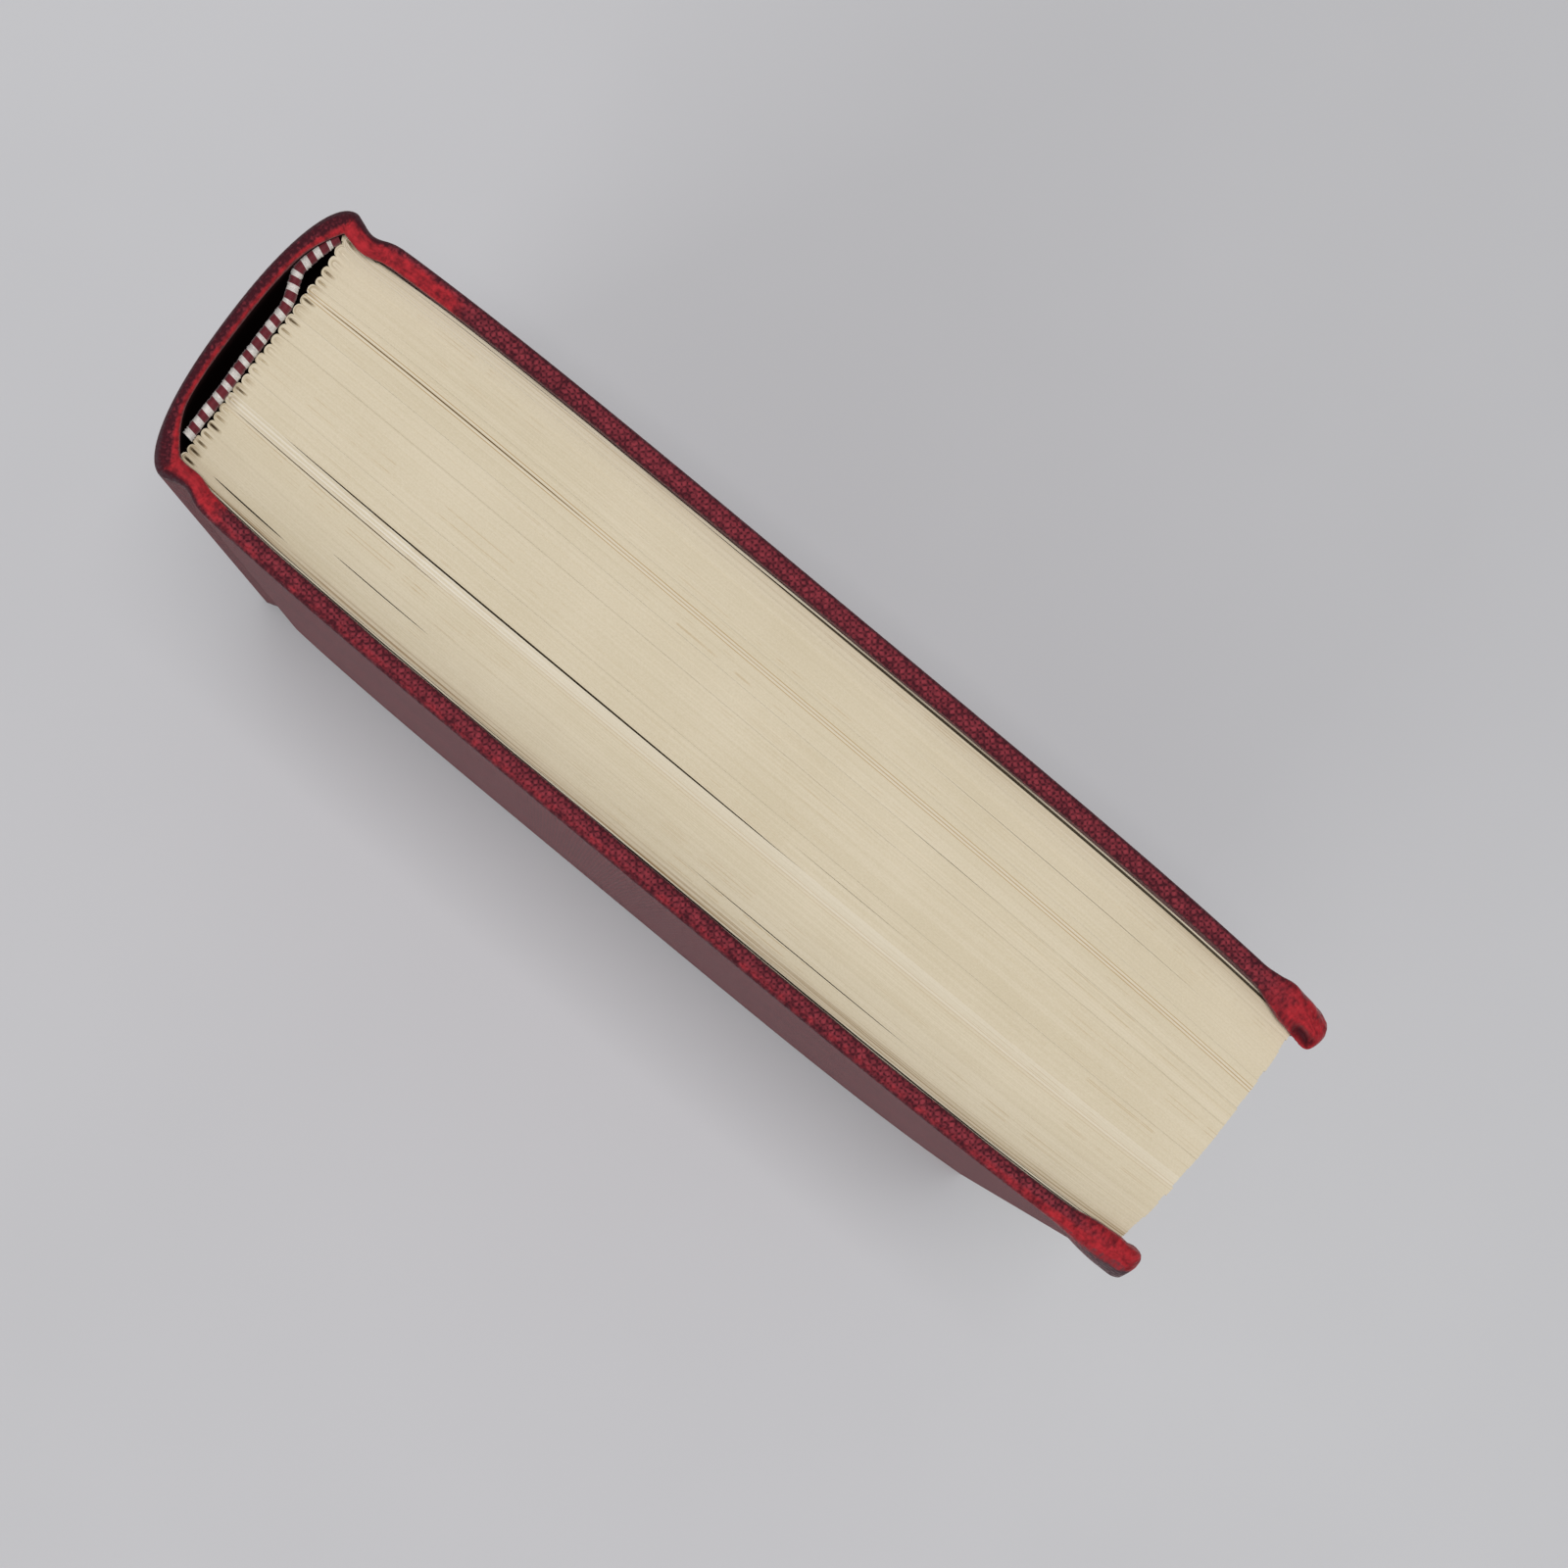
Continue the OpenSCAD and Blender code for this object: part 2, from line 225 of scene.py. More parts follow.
class Wire:
    """A node socket that takes part in arithmetic."""

    def __init__(self, tree, socket):
        self.tree = tree
        self.socket = socket

    def __add__(self, other):
        return self.tree.math("ADD", self, other)

    def __radd__(self, other):
        return self.tree.math("ADD", other, self)

    def __sub__(self, other):
        return self.tree.math("SUBTRACT", self, other)

    def __rsub__(self, other):
        return self.tree.math("SUBTRACT", other, self)

    def __mul__(self, other):
        return self.tree.math("MULTIPLY", self, other)

    def __rmul__(self, other):
        return self.tree.math("MULTIPLY", other, self)

    def __truediv__(self, other):
        return self.tree.math("DIVIDE", self, other)

    def __pow__(self, other):
        return self.tree.math("POWER", self, other)


class Nodes:
    """Writes the nodes of one tree."""

    ROW = 12
    SPACING = (220, 320)

    def __init__(self, tree):
        self.tree = tree

    def add(self, kind, inputs=(), **settings):
        """A new node, with inputs given in order or by name."""
        node = self.tree.nodes.new(kind)
        count = len(self.tree.nodes)
        node.location = (self.SPACING[0] * (count % self.ROW), -self.SPACING[1] * (count // self.ROW))
        for key, value in settings.items():
            setattr(node, key, value)
        for key, value in inputs.items() if isinstance(inputs, dict) else enumerate(inputs):
            self.put(node.inputs[key], value)
        return node

    def put(self, socket, value):
        """Link a wire to a socket, or set a plain value on it."""
        if isinstance(value, Wire):
            self.tree.links.new(value.socket, socket)
        else:
            socket.default_value = value

    def out(self, node, key=0):
        """The wire of one output of a node."""
        return Wire(self, node.outputs[key])

    def math(self, operation, *values):
        """The result of one operation on wires or numbers."""
        return self.out(self.add("ShaderNodeMath", values, operation=operation))

    def combine(self, x, y, z=0.0):
        """A vector from its three parts."""
        return self.out(self.add("ShaderNodeCombineXYZ", (x, y, z)))

    def split(self, vector):
        """The three parts of a vector."""
        node = self.add("ShaderNodeSeparateXYZ", (vector,))
        return [self.out(node, axis) for axis in range(3)]

    def scaled(self, vector, factor):
        """A vector times a number."""
        return self.out(self.add("ShaderNodeVectorMath", {0: vector, "Scale": factor}, operation="SCALE"))

    def noise(self, vector, scale, detail=2.0, roughness=0.5):
        """Smooth noise around 0.5."""
        return self.out(self.add("ShaderNodeTexNoise", {
            "Vector": vector, "Scale": scale, "Detail": detail, "Roughness": roughness}))

    def ease(self, value, low, high):
        """Smooth step from 0 at low to 1 at high."""
        return self.out(self.add("ShaderNodeMapRange", {
            "Value": value, "From Min": low, "From Max": high}, interpolation_type="SMOOTHSTEP"))

    def mix(self, amount, first, second):
        """Colour between two colours."""
        node = self.add("ShaderNodeMix", data_type="RGBA")
        for index, value in ((0, amount), (6, first), (7, second)):
            self.put(node.inputs[index], value)
        return self.out(node, 2)

    def group(self, name, **inputs):
        """A node group, as the wires of its outputs by name."""
        node = self.add("ShaderNodeGroup", node_tree=bpy.data.node_groups[name])
        for key, value in inputs.items():
            self.put(node.inputs[key], value)
        return {output.name: Wire(self, output) for output in node.outputs}


def node_group(name, kind, inputs, outputs):
    """An empty node group with named sockets: its Nodes, the wires of its inputs and its output node."""
    tree = bpy.data.node_groups.new(name, kind)
    for socket_name, socket_kind, default in inputs:
        socket = tree.interface.new_socket(socket_name, in_out="INPUT", socket_type=socket_kind)
        if default is not None:
            socket.default_value = default
    for socket_name, socket_kind in outputs:
        tree.interface.new_socket(socket_name, in_out="OUTPUT", socket_type=socket_kind)
    nodes = Nodes(tree)
    entry = nodes.add("NodeGroupInput")
    wires = {socket.name: Wire(nodes, socket) for socket in entry.outputs if socket.name}
    return nodes, wires, nodes.add("NodeGroupOutput")


FLOAT, VECTOR, MATERIAL, GEOMETRY, INTEGER = (
    "NodeSocketFloat", "NodeSocketVector", "NodeSocketMaterial", "NodeSocketGeometry", "NodeSocketInt")


def build_weave_group():
    """Plain weave.

    Crown is the height of the threads, Tone a shade that runs along each thread, Over tells which of the two
    threads lies on top, and Speck is low in the small holes between the threads.
    """
    nodes, wires, out = node_group("plain_weave", "ShaderNodeTree",
                                   [("Vector", VECTOR, None), ("Pitch", FLOAT, 0.38)],
                                   [("Crown", FLOAT), ("Tone", FLOAT), ("Over", FLOAT), ("Speck", FLOAT)])
    along, up, _ = nodes.split(wires["Vector"])
    along, up = along / wires["Pitch"], up / wires["Pitch"]
    column, row = nodes.math("FLOOR", along), nodes.math("FLOOR", up)
    over = nodes.math("FLOORED_MODULO", column + row, 2.0)
    round_along = nodes.math("SINE", nodes.math("FRACT", along) * math.pi)
    round_up = nodes.math("SINE", nodes.math("FRACT", up) * math.pi)
    warp = round_along * (round_up * 0.45 + 0.55)
    weft = round_up * (round_along * 0.45 + 0.55)
    warp_tone = nodes.noise(nodes.combine(column * 1.7, up * 0.14), 1.0)
    weft_tone = nodes.noise(nodes.combine(along * 0.14, row * 1.7, 9.0), 1.0)
    nodes.put(out.inputs["Crown"], warp + (weft - warp) * over)
    nodes.put(out.inputs["Tone"], warp_tone + (weft_tone - warp_tone) * over)
    nodes.put(out.inputs["Over"], over)
    speck = nodes.out(nodes.add("ShaderNodeTexWhiteNoise", {"Vector": nodes.combine(column, row)}), "Value")
    hole = (1.0 - round_along) * (1.0 - round_up) * (speck * 0.8 + 0.6)
    nodes.put(out.inputs["Speck"], 1.0 - hole * 1.4)


def build_paper_group():
    """Paper: cloudy shade and fibre grain."""
    nodes, wires, out = node_group("paper_fibre", "ShaderNodeTree", [("Vector", VECTOR, None)],
                                   [("Cloud", FLOAT), ("Grain", FLOAT)])
    nodes.put(out.inputs["Cloud"], nodes.noise(wires["Vector"], 0.06, 4.0))
    nodes.put(out.inputs["Grain"], nodes.noise(wires["Vector"], 2.6, 3.0, 0.6))


def build_soil_group():
    """Dust and browning that gathers where the amount is high."""
    nodes, wires, out = node_group("paper_soil", "ShaderNodeTree",
                                   [("Vector", VECTOR, None), ("Amount", FLOAT, 0.2)], [("Mask", FLOAT)])
    patch = nodes.noise(wires["Vector"], 0.09, 5.0, 0.6)
    nodes.put(out.inputs["Mask"], nodes.ease(wires["Amount"] + (patch - 0.5) * 1.1, 0.15, 1.1))


def shader_material(name, **constants):
    """A material with a Principled BSDF: the material, its Nodes and the shader node."""
    material = bpy.data.materials.new(name)
    material.use_nodes = True
    shader = material.node_tree.nodes["Principled BSDF"]
    for key, value in constants.items():
        shader.inputs[key.replace("_", " ")].default_value = value
    return material, Nodes(material.node_tree), shader


def darker(tint, factor):
    """The same colour at a lower brightness."""
    return tuple(factor * level for level in tint[:3]) + (1.0,)


def object_mm(nodes):
    """Object coordinates in millimetres."""
    return nodes.scaled(nodes.out(nodes.add("ShaderNodeTexCoord"), "Object"), MM)


def uv_mm(nodes):
    """The piece's own flat coordinates in millimetres."""
    return nodes.out(nodes.add("ShaderNodeUVMap", uv_map="flat_mm"), "UV")


def attribute(nodes, name):
    """A shade that the piece carries for each point."""
    return nodes.out(nodes.add("ShaderNodeAttribute", attribute_name=name), "Fac")


def set_bump(nodes, shader, height, distance, strength):
    """Surface relief of the given height in millimetres."""
    bump = nodes.add("ShaderNodeBump", {"Strength": strength, "Distance": distance / MM, "Height": height})
    nodes.put(shader.inputs["Normal"], nodes.out(bump))


def cloth_material(finish):
    """Plain-weave book cloth, rubbed bright along its edges."""
    material, nodes, shader = shader_material(
        "worn_book_cloth", Sheen_Weight=0.24, Sheen_Roughness=0.45, Sheen_Tint=(0.8, 0.62, 0.62, 1),
        Specular_IOR_Level=0.12)
    flat = uv_mm(nodes)
    along, up, _ = nodes.split(flat)
    slack = nodes.noise(flat, 0.6, 3.0) * 0.7
    weave = nodes.group("plain_weave", Vector=nodes.combine(along + slack, up - slack),
                        Pitch=finish.weave_pitch * MM)
    # Threads, with dark holes between them and a little felt over worn places; a painted highlight on the
    # crests of the rolled edges, painted shade on the outer side of the spine's roll, and a lighter tone over
    # the faces
    clump = nodes.noise(flat, 0.9, 3.0, 0.55) - 0.5
    fuzz = nodes.noise(flat, 2.4, 2.0, 0.5) - 0.5
    broad = nodes.noise(flat, 0.03, 3.0) - 0.5
    felted = nodes.ease(attribute(nodes, "wear") + attribute(nodes, "fray_and_shade"), 0.1, 0.7)
    speck = (weave["Speck"] - weave["Over"] * 0.34 - 0.6) * (1.0 - felted * 0.7)
    thread = nodes.ease(speck * 0.85 + fuzz * 1.1 + clump * 1.5 + broad * 0.4
                        + attribute(nodes, "edge_light_and_tone") * 0.45 - 0.18, -0.3, 1.05)
    body = nodes.mix(thread, tuple(finish.cloth_shade), tuple(finish.cloth))
    # Rubbed places, then frayed edges, greyed and darkened with painted shade on the outer side of the roll,
    # then painted shade in the crease of the knocked corner
    patches = nodes.ease(fuzz * 0.5 + clump * 1.1 + speck * 0.2 + 0.55, 0.1, 0.9)
    worn = nodes.mix(patches, tuple(finish.cloth_rubbed), tuple(finish.cloth_worn))
    rub = nodes.ease(attribute(nodes, "wear") + clump * 0.8 + fuzz * 0.3, 0.2, 1.0)
    cloth = nodes.mix(rub, body, worn)
    fray_and_shade = nodes.ease(attribute(nodes, "fray_and_shade") + fuzz * 1.2 + clump * 0.5, 0.2, 1.0)
    cloth = nodes.mix(fray_and_shade, cloth, tuple(finish.cloth_fray_shade))
    cloth = nodes.mix(attribute(nodes, "crease"), cloth, tuple(finish.cloth_shade))
    nodes.put(shader.inputs["Base Color"], cloth)
    nodes.put(shader.inputs["Roughness"], 0.8 - rub * 0.12)
    relief = weave["Crown"] * 0.6 + weave["Tone"] * 0.4 + fuzz * 0.8
    set_bump(nodes, shader, relief, distance=0.1, strength=0.8)
    return material


def page_material(finish):
    """Edges of many leaves: a shade for each leaf along the gatherings, soil and painted shade towards the
    covers.

    Lengths are in millimetres: the plates lie plate_spacing apart, and a browned opening has a second browned
    line at second_line from it.
    """
    plate_spacing, second_line = 0.47, 0.36
    material, nodes, shader = shader_material("leaf_edges", Roughness=0.88, Specular_IOR_Level=0.2)
    spot = object_mm(nodes)
    x, y, z = nodes.split(spot)
    leaf = attribute(nodes, "leaf")
    run = x + z
    fine = nodes.noise(nodes.combine(run * 0.01, leaf * 3.6), 1.0, 3.0, 0.65)
    broad = nodes.noise(nodes.combine(run * 0.01, leaf * 0.8, 5.0), 1.0, 3.0)
    speckle = nodes.noise(spot, 4.5, 2.0, 0.6)
    paper = nodes.group("paper_fibre", Vector=spot)
    soil = nodes.group("paper_soil", Vector=spot, Amount=attribute(nodes, "soil"))
    folds = 1.0 - nodes.ease(attribute(nodes, "from_fold"), 0.3, 2.2)
    from_cover = attribute(nodes, "from_cover")
    outermost = 1.0 - nodes.ease(from_cover, 0.0, 2.0)
    contrast = folds * 1.8 + outermost + 0.75
    light = nodes.ease((fine - 0.5) * contrast + (broad - 0.5) * 0.3 + (speckle - 0.5) * 0.6
                       + (paper["Cloud"] - 0.5) * 0.5 + 0.5, 0.1, 0.9)
    base = nodes.mix(light, tuple(finish.page_shade), tuple(finish.page))
    # The gathering of plates: single plates near the folds, one pale strip further on
    front_mm, back_mm = attribute(nodes, "front_mm"), attribute(nodes, "back_mm")
    parted = nodes.math("COSINE", front_mm * (2 * math.pi / plate_spacing)) * 0.5 + 0.5
    joined = nodes.ease(x, -45.0, 5.0)
    plates = (attribute(nodes, "pale") * (parted + (1.0 - parted) * joined) * nodes.ease(broad, 0.15, 0.55)
              * (1.0 - nodes.ease(x, -62.0, 0.0) * 0.74 - nodes.ease(x, 20.0, 60.0) * 0.08))
    pale = nodes.mix(plates, base, tuple(finish.plate))
    # Browned openings, each with a pale strip and a second line beside it
    rims = line_shade = 0.0
    for edge, inward in (("front", front_mm), ("back", back_mm)):
        parting = attribute(nodes, edge + "_rim")
        from_second = nodes.math("ABSOLUTE", inward - second_line)
        rims = rims + parting * (1.0 - nodes.ease(inward, 0.2, 0.34))
        browned = 2.0 - nodes.ease(inward, 0.03, 0.1) - nodes.ease(from_second, 0.02, 0.07)
        line_shade = line_shade + parting * browned
    pale = nodes.mix(rims * 0.18, pale, tuple(finish.plate))
    pale = nodes.mix(line_shade * (fine * 1.2), pale, tuple(finish.browned))
    # Fine brown lines along single leaves
    hairline = nodes.ease(nodes.noise(nodes.combine(run * 0.02, leaf * 5.0, 8.0), 1.0, 2.0), 0.62, 0.7)
    broken = nodes.ease(nodes.noise(nodes.combine(run * 0.35, leaf * 0.6, 11.0), 1.0, 2.0), 0.42, 0.6)
    pale = nodes.mix(hairline * broken * 0.4, pale, tuple(finish.browned))
    # Dust and painted shade on the outermost leaves next to the covers, painted shade in the folds and in the
    # small hollows inside them, and soil
    lines = nodes.ease(nodes.noise(nodes.combine(run * 0.03, leaf * 6.0, 3.0), 1.0, 2.0), 0.48, 0.62)
    front_side = 1.0 - nodes.ease(y, -4.0, 4.0)
    dust_and_shade = outermost ** 1.5 * (front_side * 0.45 + 0.2) * (lines * 1.1 + 0.3)
    stain = (soil["Mask"] * 0.5 + dust_and_shade + folds * (0.5 - fine) * 0.8 + lines * folds * 0.4
             + nodes.ease(attribute(nodes, "eye"), 0.1, 0.7) * 0.95)
    soiled = nodes.mix(nodes.math("MAXIMUM", stain, 0.0), pale, tuple(finish.soil))
    nodes.put(shader.inputs["Base Color"], soiled)
    set_bump(nodes, shader, fine * 0.15 + speckle * 0.4, distance=0.05, strength=0.4)
    return material


def endpaper_material(finish):
    """Smooth endpaper, browned towards its edges."""
    material, nodes, shader = shader_material("endpaper_leaf", Roughness=0.8, Specular_IOR_Level=0.25)
    flat = uv_mm(nodes)
    paper = nodes.group("paper_fibre", Vector=flat)
    soil = nodes.group("paper_soil", Vector=flat, Amount=attribute(nodes, "soil"))
    light = paper["Cloud"] * 0.7 + paper["Grain"] * 0.3
    base = nodes.mix(light, darker(finish.endpaper, 0.86), tuple(finish.endpaper))
    nodes.put(shader.inputs["Base Color"], nodes.mix(soil["Mask"] * 0.6, base, tuple(finish.soil)))
    set_bump(nodes, shader, paper["Grain"], distance=0.03, strength=0.35)
    return material


def dull_material(name, tint):
    """Paper or tape deep in the hollow back, without any gloss; its dark tint is painted shade."""
    material, nodes, shader = shader_material(name, Roughness=1.0, Specular_IOR_Level=0.0)
    grain = nodes.group("paper_fibre", Vector=object_mm(nodes))["Grain"]
    nodes.put(shader.inputs["Base Color"], nodes.mix(grain, darker(tint, 0.6), tuple(tint)))
    return material


def thread_material(name, tint):
    """Silky thread of a band, a little dusty."""
    material, nodes, shader = shader_material(name, Roughness=0.55, Sheen_Weight=0.2, Specular_IOR_Level=0.35)
    spot = object_mm(nodes)
    strand = nodes.noise(spot, 5.0, 2.0)
    dust = nodes.noise(spot, 0.8, 3.0)
    light = nodes.ease(strand * 0.6 + dust * 0.5, 0.3, 0.75)
    nodes.put(shader.inputs["Base Color"], nodes.mix(light, darker(tint, 0.6), tuple(tint)))
    set_bump(nodes, shader, strand, distance=0.04, strength=0.5)
    return material


def lining_material(finish):
    """Kraft paper with visible fibres."""
    material, nodes, shader = shader_material("kraft_lining", Roughness=0.9, Specular_IOR_Level=0.2)
    paper = nodes.group("paper_fibre", Vector=object_mm(nodes))
    light = nodes.ease(paper["Cloud"] * 0.5 + paper["Grain"] * 0.6, 0.3, 0.8)
    tint = finish.lining
    nodes.put(shader.inputs["Base Color"], nodes.mix(light, darker(tint, 0.7), tuple(tint)))
    set_bump(nodes, shader, paper["Grain"], distance=0.06, strength=0.6)
    return material


def gauze_material(finish):
    """Open gauze set in glue."""
    material, nodes, shader = shader_material("spine_gauze", Roughness=0.8, Specular_IOR_Level=0.3)
    _, y, z = nodes.split(object_mm(nodes))
    weave = nodes.group("plain_weave", Vector=nodes.combine(y, z), Pitch=1.1)
    thread = nodes.ease(weave["Crown"] + weave["Tone"] * 0.3, 0.45, 0.95)
    glue = darker(finish.gauze, 0.45)
    nodes.put(shader.inputs["Base Color"], nodes.mix(thread, glue, tuple(finish.gauze)))
    set_bump(nodes, shader, weave["Crown"], distance=0.12, strength=0.8)
    return material


def wobble(points, size, seed):
    """Smooth wander between about -1 and 1 over points in millimetres, with bumps of the given size."""
    count, stretch, level = 7, 1.6, 3.2
    draw = np.random.default_rng(seed)
    waves = draw.normal(size=(count, 3)) * (2 * math.pi / size / stretch)
    phases = draw.uniform(0, 2 * math.pi, count)
    return np.sin(np.asarray(points) @ waves.T + phases).sum(axis=-1) / level


def smooth(value, low, high):
    """Smooth step from 0 at low to 1 at high."""
    t = np.clip((np.asarray(value, float) - low) / (high - low), 0, 1)
    return t * t * (3 - 2 * t)


def mesh_piece(name, points, faces, material, flat=None, shades=None, smooth_faces=True):
    """A mesh object from points in millimetres, with flat coordinates and named shades for each point."""
    mesh = bpy.data.meshes.new(name)
    points = np.asarray(points, float).reshape(-1, 3)
    mesh.from_pydata((points / MM).tolist(), [], faces)
    if flat is not None:
        corners = np.zeros(len(mesh.loops), np.int32)
        mesh.loops.foreach_get("vertex_index", corners)
        layer = mesh.uv_layers.new(name="flat_mm")
        layer.data.foreach_set("uv", np.asarray(flat, np.float32).reshape(-1, 2)[corners].ravel())
    for key, values in (shades or {}).items():
        layer = mesh.attributes.new(key, "FLOAT", "POINT")
        layer.data.foreach_set("value", np.asarray(values, np.float32).ravel())
    mesh.materials.append(material)
    work = bmesh.new()
    work.from_mesh(mesh)
    bmesh.ops.recalc_face_normals(work, faces=work.faces)
    for face in work.faces:
        face.smooth = smooth_faces
    work.to_mesh(mesh)
    work.free()
    piece = bpy.data.objects.new(name, mesh)
    bpy.context.scene.collection.objects.link(piece)
    return piece


def grid_faces(rows, columns, start=0, wrap=False):
    """Quads over a grid of points, closed round its columns if wrap is set."""
    last = columns if wrap else columns - 1
    return [[start + i * columns + j, start + i * columns + (j + 1) % columns,
             start + (i + 1) * columns + (j + 1) % columns, start + (i + 1) * columns + j]
            for i in range(rows - 1) for j in range(last)]


def leaf_piece(name, outer, inner, material, flat, shades):
    """A closed leaf between two grids of points."""
    rows, columns = outer.shape[:2]
    count = rows * columns
    rim = ([i * columns for i in range(rows)] + [(rows - 1) * columns + j for j in range(1, columns)]
           + [i * columns + columns - 1 for i in range(rows - 2, -1, -1)] + list(range(columns - 2, 0, -1)))
    faces = grid_faces(rows, columns) + [quad[::-1] for quad in grid_faces(rows, columns, count)]
    faces += [[a, b, b + count, a + count] for a, b in zip(rim, rim[1:] + rim[:1])]
    points = np.concatenate([outer.reshape(-1, 3), inner.reshape(-1, 3)])
    return mesh_piece(name, points, faces, material, np.concatenate([flat, flat]),
                      {key: np.concatenate([value, value]) for key, value in shades.items()}, False)


class Plan:
    """Plan lines of the book in millimetres."""

    def __init__(self, shape):
        self.fold = shape.fold_line * MM
        self.width = shape.page_width * MM
        self.bow = shape.bow * MM
        self.lean = shape.lean * MM
        self.block = shape.block_half * MM
        self.out = CAD_HIGH.y * MM
        self.foot, self.head = CAD_LOW.z * MM, CAD_HIGH.z * MM
        self.fore = CAD_HIGH.x * MM
        self.cover = shape.cover_thick * MM
        self.hinge = {side: HINGES[name + "_cover"].x * MM for name, side in SIDES.items()}
        self.shoulder = self.fold + 2.6
        self.half = self.out - self.drop(self.shoulder)

    def drop(self, x):
        """How far covers and leaves have bowed in at X."""
        return self.bow * np.abs(2 * (np.asarray(x, float) - self.fold) / self.width - 1) ** 4

    def lean_at(self, y):
        """Shift of the spine at Y."""
        return -self.lean / 2 * np.asarray(y, float) / self.half


def evaluated_piece(name, source, tree, values):
    """A plain mesh object from a node tree run on the source mesh object."""
    modifier = source.modifiers.new("nodes", "NODES")
    modifier.node_group = tree
    for item in tree.interface.items_tree:
        if item.item_type == "SOCKET" and item.in_out == "INPUT" and item.name in values:
            modifier[item.identifier] = values[item.name]
    bpy.context.view_layer.update()
    graph = bpy.context.evaluated_depsgraph_get()
    mesh = bpy.data.meshes.new_from_object(source.evaluated_get(graph))
    source.modifiers.remove(modifier)
    piece = bpy.data.objects.new(name, mesh)
    bpy.context.scene.collection.objects.link(piece)
    bpy.data.objects.remove(source)
    mesh.name = name
    if not mesh.polygons:
        raise RuntimeError(name + ": the node tree made no faces")
    return piece


def point_source(name, points, edges=(), shades=None):
    """A mesh object of points in metres that a node tree works on."""
    mesh = bpy.data.meshes.new(name)
    mesh.from_pydata(points, edges, [])
    for key, values in (shades or {}).items():
        layer = mesh.attributes.new(key, "FLOAT", "POINT")
        layer.data.foreach_set("value", np.asarray(values, np.float32))
    source = bpy.data.objects.new(name, mesh)
    bpy.context.scene.collection.objects.link(source)
    return source


def named_attribute(nodes, name):
    """A value that the source points carry."""
    return nodes.out(nodes.add("GeometryNodeInputNamedAttribute", {"Name": name}, data_type="FLOAT"))


def store(nodes, geometry, name, value):
    """The geometry with a value kept on it under a name."""
    node = nodes.add("GeometryNodeStoreNamedAttribute", {"Geometry": geometry, "Name": name},
                     data_type="FLOAT")
    nodes.put(node.inputs["Value"], value)
    return nodes.out(node)


